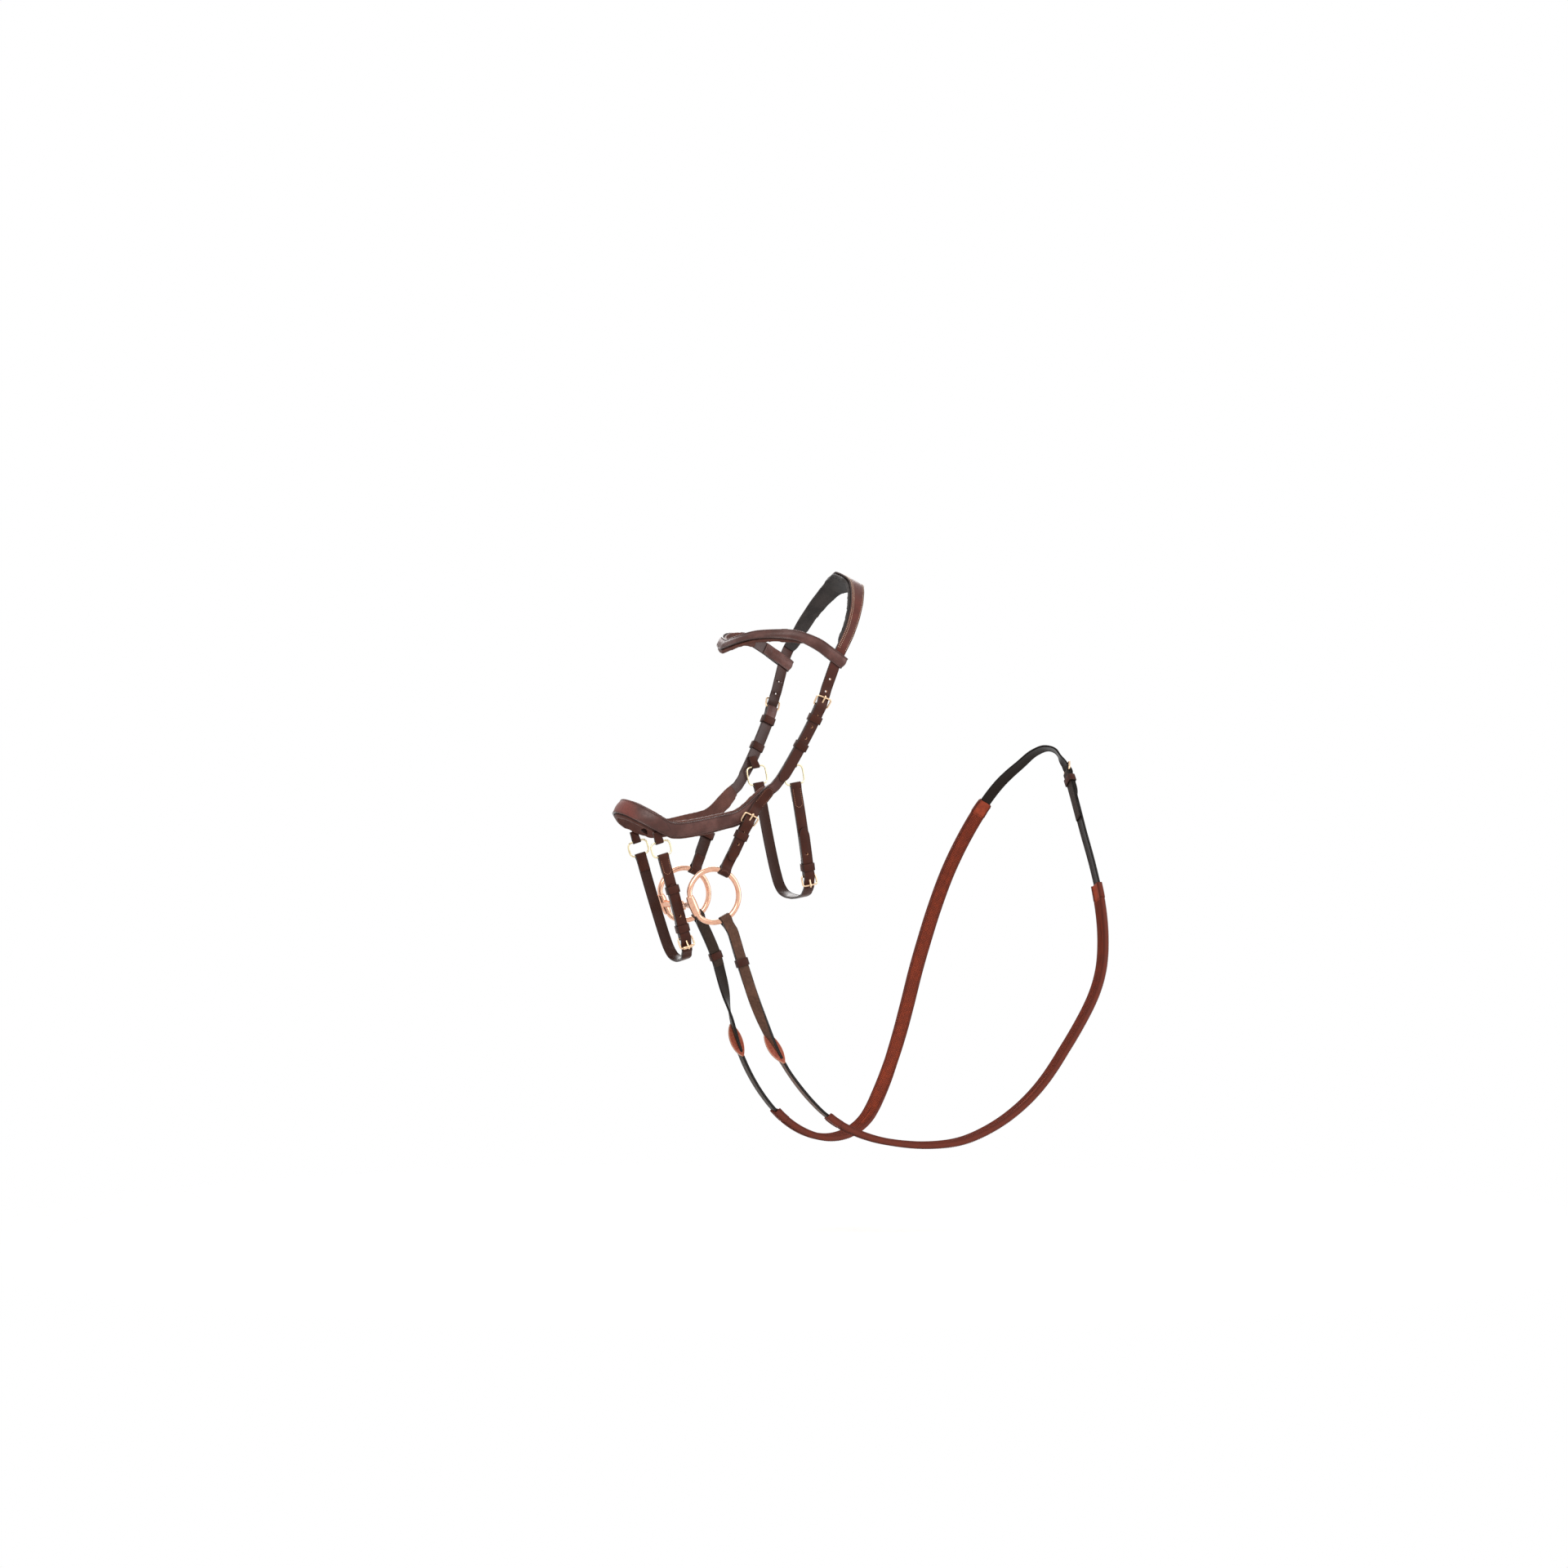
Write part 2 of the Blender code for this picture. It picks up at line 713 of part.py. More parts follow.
def billet_marks(heel, way):
    reach = buckle_length + buckle_wire + billet_ramp
    spots = [-fold_run, -fold_run * 0.6, -buckle_wire, 0, buckle_wire / 2, buckle_length * 0.3, buckle_length * 0.6]
    spots += [buckle_length - buckle_wire, buckle_length + buckle_wire]
    spots += [buckle_length + buckle_wire + billet_ramp * share for share in (0.33, 0.66)]
    return [heel + way * x for x in spots + [reach]]


def tongue_hole(heel, way):
    return (heel + way * tongue_hole_start, heel + way * tongue_hole_end, "slot")


def hole_row(heel, way, counts):
    """Places of the spare holes, before and behind the hole that is in use."""
    used = heel + way * (tongue_hole_start + tongue_hole_end) / 2
    return [used + way * hole_spacing * k for k in counts]


def front_lift(roller=0.0):
    return front_billet + billet_thickness / 2 + layer_gap + buckle_wire / 2 + roller


def buckle(name, turn, strap_width, rise):
    """A heel-bar buckle: a wire frame whose front bar stands higher and a little wider than its heel bar."""
    wire = buckle_wire / 2
    slope = math.atan2(rise, buckle_length)
    x = turn.x * math.cos(slope) + turn.z * math.sin(slope)
    across = strap_width + 2 * buckle_side_gap + buckle_wire
    length = math.hypot(rise, buckle_length)
    path = []
    for p, q in rounded_rectangle(length, across, buckle_corner):
        flare = 1 + buckle_flare * (p / length + 0.5)
        path.append(turn.origin + x * (p + length / 2) + turn.y * q * flare)
    return tube(name, path, x.cross(turn.y), (wire, wire), "pale_metal", sides=6, closed=True)


def tongue(name, turn, rise, bar):
    """A flat tongue that curls round the heel bar and rests on the front bar."""
    thick, wire = tongue_thickness / 2, buckle_wire / 2
    curl = wire + running_clearance + thick
    top = rise + bar / 2 + 2 * running_clearance + thick
    slope = math.atan2(top - curl, buckle_length)
    path = []
    for k in range(tongue_curl_steps + 1):
        angle = math.radians(-60) + (math.radians(-210) + slope) * k / tongue_curl_steps
        path.append(turn.origin + turn.x * curl * math.cos(angle) + turn.z * curl * math.sin(angle))
    for share in (0.55, 0.92):
        path.append(turn.origin + turn.x * buckle_length * share + turn.z * (curl + (top - curl) * share))
    path.append(turn.origin + turn.x * (buckle_length + wire * 0.5) + turn.z * (top + running_clearance))
    path.append(turn.origin + turn.x * (buckle_length + buckle_wire * 1.2) + turn.z * (top - thick))
    return tube(name, path, turn.y, (thick, tongue_width / 2), "pale_metal", sides=6)


def keeper(name, turn, width, low, high, length, finish="strap_leather"):
    """A band of leather round the straps that lie between low and high above the frame's origin."""
    half = keeper_thickness / 2
    inner_width = width + 2 * (layer_gap + half)
    inner_height = high - low + 2 * (layer_gap + half)
    middle = (high + low) / 2
    stations = []
    path = rounded_rectangle(inner_width, inner_height, keeper_corner, 2)
    for i, (y, z) in enumerate(path):
        before, after = path[i - 1], path[(i + 1) % len(path)]
        run = turn.y * (after[0] - before[0]) + turn.z * (after[1] - before[1])
        out = run.normalized().cross(turn.x)
        place = turn.origin + turn.y * y + turn.z * (z + middle)
        stations.append(Station(place, out, -turn.x, length / 2, half, None))
    return ribbon(name, stations, finish, closed=True)


def jacket(name, route, start, end, half_width, thickness, inner_width, inner_thickness, finish, extra=()):
    """A sleeve with a flat opening through it, round a strap."""
    stations = lay(route, start, end, half_width, thickness, 0, extra=extra)
    verts, faces = [], []
    for s in stations:
        for half, high in ((s.half_width, s.half_thickness), (inner_width / 2, inner_thickness / 2)):
            for a, b in ((-1, -1), (1, -1), (1, 1), (-1, 1)):
                verts.append(s.place + s.side * half * a + s.out * high * b)
    rows = len(stations)
    for i in range(rows - 1):
        for k in range(4):
            for base in (0, 4):
                a, b = i * 8 + base + k, i * 8 + base + (k + 1) % 4
                faces.append((a, b, b + 8, a + 8) if base == 0 else (b, a, a + 8, b + 8))
    for first in (0, (rows - 1) * 8):
        for k in range(4):
            a, b = first + k, first + (k + 1) % 4
            faces.append((a, b, b + 4, a + 4))
    return new_object(name, verts, faces, finish)


def hanging_ring(name, bar, down, drop):
    """A ring with a straight bar above and below, for the folds of a chape and a strap."""
    across = down.cross(NEAR).normalized()
    centre = bar + down * drop / 2
    path = [centre + down * p + across * q for p, q in rounded_rectangle(drop, small_ring_width, small_ring_corner)]
    wire = small_ring_wire / 2
    return tube(name, path, NEAR, (wire, wire), "ring_metal", sides=6, closed=True)


def chape(name, bar, down, width, tail):
    """A fold of leather that carries a ring's upper bar, with its two plies sewn behind the cheek leather."""
    turn = Turn(bar, -down, NEAR.cross(-down), NEAR)
    side = turn.z.cross(turn.x)
    flat_side = (side - CHEEK_OUT * side.dot(CHEEK_OUT)).normalized()
    half_gap = (ply_thickness + layer_gap) / 2
    depth = -chape_depth

    def ply(x, z):
        spot = bar + turn.x * x
        rise = (depth - lift_of(spot)) / NEAR.dot(CHEEK_OUT)
        return spot + NEAR * rise + CHEEK_OUT * z

    def station(x, sign):
        return Station(
            ply(x, half_gap * sign), CHEEK_OUT * sign, flat_side, width / 2, ply_thickness / 2, None,
        )

    radius = fold_radius(small_ring_wire, running_clearance)
    stations = [station(tail, -1), station(fold_run, -1)]
    stations += round_bar(turn, radius, width / 2, ply_thickness)
    stations += [station(fold_run, 1), station(tail, 1)]
    return ribbon(name, stations, "strap_leather")


def build_routes():
    """The lines of the headstall: main down the near side, and the others made from it."""
    crown_rest = crown_thickness / 2 + pad_gap + crown_pad_thickness
    places, outs = [CROWN_DOWN * -crown_rest], [-CROWN_DOWN]
    for drop, width, angle in crown_shares:
        places.append(CROWN_DOWN * (drop * head_length) + NEAR * (width * cheek_half_width))
        outs.append(turned(angle, -CROWN_DOWN))
    for u, v in cheek_shares:
        places.append(on_cheek(u * head_length, v * head_length))
        outs.append(CHEEK_OUT)
    for u, v, w, angle in nose_shares:
        places.append(across(u, v, w))
        outs.append(turned(angle))
    main = Route.through(places, outs, route_step)
    hanger_level = noseband_thickness / 2 + 2 * layer_gap + strap_thickness / 2 + layer_gap + ply_thickness
    hanger = Route.through(
        [on_cheek(u * head_length, v * head_length) + CHEEK_OUT * hanger_level for u, v in hanger_shares],
        [CHEEK_OUT] * len(hanger_shares), route_step,
    )
    places = [across(*share[:3]) for share in browband_shares]
    brow = Route.through(places, [turned(share[3]) for share in browband_shares], brow_step)
    return main, hanger, hanger_level, brow


def swing_route(bar, down, drop, shares):
    """The line of a strap that hangs from a ring on each side, from its lowest point to the near ring."""
    half = -bar.y
    places = [Vector((bar.x, -half * w, bar.z)) + down * (drop * t) for t, w in shares]
    outs = []
    for i in range(len(places)):
        if i == len(places) - 1:
            outs.append(down.copy())
            continue
        run = places[min(i + 1, len(places) - 1)] - places[max(i - 1, 0)]
        outs.append(run.cross(NEAR.cross(down)).normalized())
    away = NEAR + down
    outs = [n if n.dot(away) > 0 else -n for n in outs]
    return Route.through(places[::-1], outs[::-1], swing_step)


def bit_places(hanger):
    """The centre of the near bit ring, the way forward to its sleeve, and the middle of the sleeve."""
    contact = hanger.turn(hanger.along[-1], 0, 1)
    out = Vector((contact.x.x, 0, contact.x.z)).normalized()
    centre = contact.origin + out * bit_ring_radius
    forward = Vector((math.cos(barrel_place), 0, math.sin(barrel_place)))
    return centre, forward, centre + forward * math.sqrt(bit_ring_radius ** 2 - (barrel_length / 2) ** 2)


def chin_direction(mouthpiece):
    """The way that the chin strap hangs, so that it passes clear of the mouthpiece."""
    bar = ring_bar(chin_bar_share)
    run = Vector((mouthpiece.x - bar.x, 0, mouthpiece.z - bar.z))
    aside = Matrix.Rotation(math.asin(chin_clearance / run.length), 3, "Y")
    return (aside @ run).normalized()


def headstall(main, brow, chin_down):
    """Crown, browband and noseband, with their pads."""
    whole = main.whole()
    heel = on_route(main, cheek_heel_share)
    tip = on_route(main, cheek_tip_share)
    crown_half = table(tuple((s * head_length, w * crown_width / 2) for s, w in crown_width_shares))
    over = billet_lift(heel, -1, 0)
    near_cuts = punches(hole_row(heel, -1, (1, 2, -1, -2, -3)), hole_size) + [tongue_hole(heel, -1)]
    far_cuts = [(-b, -a, kind) for a, b, kind in near_cuts]
    marks = billet_marks(heel, -1) + point_marks(tip, billet_width, 1)
    width = table((
        (on_route(main, loop_share) - billet_width, 0),
        (on_route(main, loop_share), 1),
    ))
    near_point = pointed(tip, billet_width / 2, billet_width * 0.8, 1)

    def half_width(s):
        s = abs(s)
        blend = width(s)
        return crown_half(s) * (1 - blend) + near_point(s) * blend

    thin = table(((heel - 4 * buckle_length, crown_thickness), (heel - 2 * buckle_length, billet_thickness)))
    stations = lay(
        whole, -tip, tip, half_width, lambda s: thin(abs(s)), lambda s: over(abs(s)),
        near_cuts + far_cuts, marks + [-m for m in marks],
    )
    ribbon("headpiece", stations, "crown_leather")
    pad_end = on_route(main, loop_share) - 1.2 * billet_width
    pad_round = table(((pad_end - crown_pad_thickness, 1), (pad_end, 0.35)))
    stations = lay(
        whole, -pad_end, pad_end,
        lambda s: crown_half(abs(s)) + pad_overhang * pad_round(abs(s)),
        lambda s: crown_pad_thickness * pad_round(abs(s)),
        lambda s: -(crown_thickness + crown_pad_thickness * pad_round(abs(s))) / 2 - pad_gap,
    )
    ribbon("headpiece_pad", stations, "pad_leather")

    nose = main.backwards().whole()
    end = nose.along[-1]
    nose_half = table(tuple((s * head_length, w * nose_width / 2) for s, w in nose_width_shares))
    fold = (buckle_wire, running_clearance, tongue_slot)
    bare = [end - on_route(main, share) for share in bare_cheek_shares]
    stations = folded_strap(
        nose, heel - end, end - heel, lambda s: nose_half(abs(s)), noseband_thickness,
        (fold, fold), fold_tail, extra=bare + [-s for s in bare],
    )
    ribbon("noseband", stations, "noseband_leather")
    chin_bar = ring_bar(chin_bar_share)
    chape_half = chape_width / 2 + pad_recess_room
    upper = end - main.nearest(chin_bar - chin_down * chape_tail) - chape_half
    lower = end - main.nearest(chin_bar) + chape_half
    recess = table((
        (upper - pad_recess_room, 0), (upper, 1), (lower, 1), (lower + pad_recess_room, 0),
    ))
    pad_end = end - on_route(main, pad_top_share)
    pad_round = table(((pad_end - 2 * pad_thickness, 1), (pad_end, 0.4)))
    depth = 2 * ply_thickness + 6 * layer_gap - pad_gap

    def pad_top(s):
        return -noseband_thickness / 2 - pad_gap - depth * recess(abs(s))

    def pad_bottom(s):
        return -noseband_thickness / 2 - pad_gap - pad_thickness * pad_round(abs(s))

    marks = [upper - pad_recess_room, upper, lower, lower + pad_recess_room]
    stations = lay(
        nose, -pad_end, pad_end,
        lambda s: nose_half(abs(s)) + pad_overhang * pad_round(abs(s)),
        lambda s: pad_top(s) - pad_bottom(s), lambda s: (pad_top(s) + pad_bottom(s)) / 2,
        extra=marks + [-m for m in marks],
    )
    ribbon("noseband_pad", stations, "pad_leather")
    browband(main, brow)
    return heel


def browband(main, brow):
    """The band across the forehead, with a loop round the headpiece at each end."""
    strap = crown_thickness / 2 + loop_play + ply_thickness / 2
    loop_at = brow.nearest(main.at(on_route(main, loop_share))[0])
    rear = loop_at - billet_width / 2 - loop_room
    front = loop_at + billet_width / 2 + loop_room
    lift = table(((front, strap), (front + 2 * billet_width, brow_lift)))
    thick = table(((front, ply_thickness), (front + billet_width, browband_thickness)))
    half = table(tuple((rear + s * head_length, w * browband_width / 2) for s, w in brow_width_shares))
    last = brow.along[-1]
    joined = table(((front, 0), (front + billet_width, 1)))

    def inner(s):
        """The level of the loop's tail, which runs from behind the headpiece to just under the band."""
        below = lift(s) - thick(s) / 2 - layer_gap - ply_thickness / 2
        return below * joined(s) - strap * (1 - joined(s))

    back = turned_over(lay(brow, front + 1.5 * billet_width, rear, half, ply_thickness, inner))
    turn = brow.turn(rear, 0, 1)
    wrap = round_bar(turn, strap, half(rear), ply_thickness)
    near = back[:-1] + wrap[:-1] + lay(brow, rear, last, half, thick, lift)
    far = [
        s._replace(place=mirrored(s.place), out=mirrored(s.out), side=-mirrored(s.side))
        for s in reversed(near[:-1])
    ]
    far = [s._replace(side=-s.side) for s in far]
    ribbon("browband", near + far, "browband_leather")
    pad_end = front + 2.6 * billet_width
    pad_round = table(((pad_end, 0.4), (pad_end + 2 * browband_pad_thickness, 1)))
    pad = lay(
        brow, pad_end, last,
        lambda s: half(s) + pad_overhang * pad_round(s),
        lambda s: browband_pad_thickness * pad_round(s),
        lambda s: lift(s) - (thick(s) + browband_pad_thickness * pad_round(s)) / 2 - pad_gap,
    )
    far = [
        s._replace(place=mirrored(s.place), out=mirrored(s.out), side=mirrored(s.side))
        for s in reversed(pad[:-1])
    ]
    ribbon("browband_pad", pad + far, "pad_leather")


def pair(thing, axis_point=None):
    """Adds the off side's copy of a near piece; a moving piece is hung on its axis."""
    copy = mirror_copy(thing, thing.name.replace("near_", "off_"))
    if axis_point:
        hang_on(thing, axis_point)
        hang_on(copy, mirrored(axis_point))


def cheek_fittings(main, heel):
    """Buckle, tongue, keeper and runner where the headpiece meets each cheek."""
    turn = main.turn(heel, 0, -1)
    pair(buckle("near_cheek_buckle", turn, billet_width, front_lift()))
    pair(tongue("near_cheek_tongue", turn, front_lift(), buckle_wire), turn.origin)
    low = -noseband_thickness / 2 - layer_gap
    high = noseband_thickness / 2 + 2 * layer_gap + billet_thickness
    fixed = main.turn(on_route(main, cheek_keeper_share), 0, -1)
    below = low - ply_thickness - layer_gap
    pair(keeper("near_cheek_keeper", fixed, cheek_width, below, high, keeper_length))
    loose = main.turn(on_route(main, cheek_runner_share), 0, -1)
    runner = keeper("near_cheek_runner", loose, cheek_width, low - runner_play, high + runner_play, keeper_length)
    pair(runner, loose.origin)


def ring_bar(share):
    return on_cheek(share[0] * head_length, share[1] * head_length)


def bit_straps(hanger, level):
    """The billet that is sewn on the cheek, the hanger round the bit ring, and their buckle."""
    heel = on_route(hanger, hanger_heel_share)
    ring_end = hanger.along[-1]
    tip = on_route(hanger, hanger_tip_share)
    sewn = noseband_thickness / 2 + layer_gap + billet_thickness / 2 - level
    cuts = [tongue_hole(heel, -1)] + punches(hole_row(heel, -1, (-1, -2)), hole_size)
    point = pointed(tip, billet_width / 2, billet_width * 0.8, 1)
    top = pointed(0, billet_width / 2, billet_width * 0.5, -1)
    stations = lay(
        hanger, 0, tip, lambda s: min(point(s), top(s)), billet_thickness,
        billet_lift(heel, -1, sewn, strap_thickness), cuts,
        billet_marks(heel, -1) + point_marks(tip, billet_width, 1) + point_marks(0, billet_width * 0.6, -1),
    )
    pair(ribbon("near_bit_billet", stations, "strap_leather"))
    folds = ((buckle_wire, running_clearance, tongue_slot), (bit_ring_wire, ring_play, None))
    stations = folded_strap(hanger, heel, ring_end, billet_width / 2, strap_thickness, folds, fold_tail)
    pair(ribbon("near_bit_hanger", stations, "strap_leather"))
    turn = hanger.turn(heel, 0, -1)
    pair(buckle("near_bit_buckle", turn, billet_width, front_lift()))
    pair(tongue("near_bit_tongue", turn, front_lift(), buckle_wire), turn.origin)
    spot = hanger.turn(on_route(hanger, hanger_keeper_share), 0, -1)
    low = -strap_thickness / 2 - 2 * layer_gap - ply_thickness
    high = strap_thickness / 2 + 2 * layer_gap + billet_thickness
    pair(keeper("near_bit_keeper", spot, billet_width, low, high, keeper_length))


def bit(centre, forward, axis):
    """The eggbutt rings, the two arms and the lozenge between them."""
    ring = []
    reach = math.asin(barrel_length / 2 / bit_ring_radius)
    for k in range(bit_ring_steps + 1):
        angle = barrel_place + reach + (2 * math.pi - 2 * reach) * k / bit_ring_steps
        ring.append(centre + Vector((math.cos(angle), 0, math.sin(angle))) * bit_ring_radius)
    wire = bit_ring_wire / 2
    pair(tube("near_bit_ring", ring, NEAR, (wire, wire), "bit_metal", sides=8, closed=True), centre)

    along = forward.cross(NEAR)
    turn = Turn(axis, along, NEAR, along.cross(NEAR))
    half, bore, thick = barrel_length / 2 - barrel_end_room, wire + running_clearance, barrel_diameter / 2
    profile = [(-half, bore), (-half, thick * 0.8), (-half * 0.6, thick * 0.96), (0, thick)]
    profile += [(half * 0.6, thick * 0.96), (half, thick * 0.8), (half, bore)]
    sleeve = revolved("barrel", turn, profile, "bit_metal", 16)
    link = Vector((axis.x, -lozenge_length / 2, axis.z))
    eye = link + NEAR * (2 * eye_radius - eye_wire - link_clearance)
    start, stop = axis - NEAR * (bore + running_clearance), eye + NEAR * eye_radius
    path, sizes = [], []
    for share, size in ((0, 0.82), (0.12, 1), (0.3, 1), (0.55, 0.9), (0.8, 0.72), (1, 0.6)):
        path.append(start.lerp(stop, share) + forward * arm_bow * math.sin(math.pi * share))
        sizes.append((arm_diameter / 2 * size, arm_diameter / 2 * size))
    arm = tube("arm", path, along, lambda i: sizes[i], "bit_metal", sides=10)
    hoop = [eye + NEAR * eye_radius * math.cos(a) + along * eye_radius * math.sin(a) for a in eighths()]
    loop = tube("eye", hoop, forward, (eye_wire / 2, eye_wire / 2), "bit_metal", sides=8, closed=True)
    pair(united("near_bit_arm", [sleeve, arm, loop], "bit_metal"), axis)

    bpy.ops.mesh.primitive_uv_sphere_add(segments=12, ring_count=8, radius=1)
    body = bpy.context.object
    shape = Matrix.Diagonal((lozenge_width / 2, lozenge_body / 2, lozenge_thickness / 2, 1))
    face = Matrix((along, NEAR, forward)).transposed().to_4x4()
    middle = Vector((axis.x, 0, axis.z))
    body.data.transform(Matrix.Translation(middle) @ face @ shape)
    hoops = []
    for side in (-1, 1):
        mid = middle + NEAR * side * lozenge_length / 2
        hoop = [mid + NEAR * eye_radius * math.cos(a) + forward * eye_radius * math.sin(a) for a in eighths()]
        hoops.append(tube("hoop", hoop, along, (eye_wire / 2, eye_wire / 2), "bit_metal", sides=8, closed=True))
    lozenge = united("bit_lozenge", [body] + hoops, "bit_metal")
    hang_on(lozenge, link + NEAR * (eye_radius - (eye_wire + link_clearance) / 2))


def eighths():
    return [2 * math.pi * k / eye_steps for k in range(eye_steps)]


def hanging_strap(word, bar_share, bar_depth, down, ring_drop, drop, shares, width, places, roller):
    """A strap under the jaw or the chin: rings, chapes, strap with buckle, billet, tongue and keepers."""
    heel_share, keeper_share, runner_share, tip_share = places
    top = ring_bar(bar_share)
    bar = top + NEAR * ((-bar_depth - lift_of(top)) / NEAR.dot(CHEEK_OUT))
    pair(chape(f"near_{word}_chape", bar, down, chape_width, chape_tail))
    pair(hanging_ring(f"near_{word}_ring", bar, down, ring_drop), bar)
    low_bar = bar + down * ring_drop
    route = swing_route(low_bar, down, drop, shares).whole()
    end = route.along[-1]
    heel = end - heel_share * drop
    folds = ((buckle_wire, running_clearance, tongue_slot), (small_ring_wire, running_clearance, None))
    stations = folded_strap(route, heel, end, width / 2, strap_thickness, folds, fold_tail)
    hang_on(ribbon(f"{word}_strap", stations, "strap_leather"), low_bar)
    tip = end - tip_share * drop
    cuts = [tongue_hole(heel, -1)] + punches(hole_row(heel, -1, (-1, -2)), hole_size)
    point = pointed(tip, width / 2, width * 0.8, 1)
    over = billet_lift(heel, -1, 0, strap_thickness)
    stations = folded_strap(
        route, -end, tip, point, billet_thickness, (folds[1], None), fold_tail, over, cuts,
        billet_marks(heel, -1) + point_marks(tip, width, 1),
    )
    hang_on(ribbon(f"{word}_billet", stations, "strap_leather"), low_bar)
    turn = route.turn(heel, 0, -1)
    rise = front_lift(roller_wall + running_clearance if roller else 0)
    hang_on(buckle(f"{word}_buckle", turn, width, rise), low_bar)
    bar_size = buckle_wire + (2 * (roller_wall + running_clearance) if roller else 0)
    hang_on(tongue(f"{word}_tongue", turn, rise, bar_size), turn.origin)
    low = -strap_thickness / 2 - 2 * layer_gap - ply_thickness
    high = strap_thickness / 2 + 2 * layer_gap + billet_thickness
    spot = route.turn(end - keeper_share * drop, 0, -1)
    hang_on(keeper(f"{word}_keeper", spot, width, low, high, keeper_length), low_bar)
    if runner_share:
        spot = route.turn(end - runner_share * drop, 0, -1)
        low, high = -strap_thickness / 2 - layer_gap - runner_play, high + runner_play
        hang_on(keeper(f"{word}_runner", spot, width, low, high, keeper_length), spot.origin)
    if roller:
        front = turn.origin + turn.x * buckle_length + turn.z * rise
        roll = Turn(front, turn.y, turn.z, turn.y.cross(turn.z))
        bore = buckle_wire / 2 + running_clearance
        half = width / 2
        profile = [(-half, bore), (-half, bore + roller_wall), (half, bore + roller_wall), (half, bore)]
        hang_on(revolved(f"{word}_roller", roll, profile, "pale_metal", 12), front)


def rein_line(centre):
    """One smooth line for both reins, from the near ring over the crest to the off ring."""
    near, far = [Vector(p) for p in near_rein], [Vector(p) for p in off_rein]
    ends = []
    for middle, leave in ((centre, near[0]), (mirrored(centre), far[0])):
        away = Vector((leave.x - middle.x, 0, leave.z - middle.z)).normalized()
        ends.append(middle + away * bit_ring_radius)
    places = [ends[0]] + near + [Vector(p) for p in crest_line] + far[::-1] + [ends[1]]
    last = len(places) - 1
    outs = []
    for i, place in enumerate(places):
        run = places[min(i + 1, last)] - places[max(i - 1, 0)]
        flat = Vector((-run.z, 0, run.x)).normalized()
        flat = flat if flat.dot(place - rein_middle) > 0 else -flat
        over = i - len(near) - 1
        if 0 <= over < len(crest_outs):
            outs.append(Vector(crest_outs[over]).normalized())
            continue
        if over < 0:
            side, turn, rise = NEAR, passed(i, near_turn), 0
        else:
            level = last - i
            side, turn, rise = -NEAR, passed(level, off_turn) - passed(level, off_back), passed(level, off_rise)
        out = (side * (1 - turn) + flat * turn).normalized()
        outs.append((out * (1 - rise) + UP * rise).normalized())
    return Route.through(places, outs, rein_step)


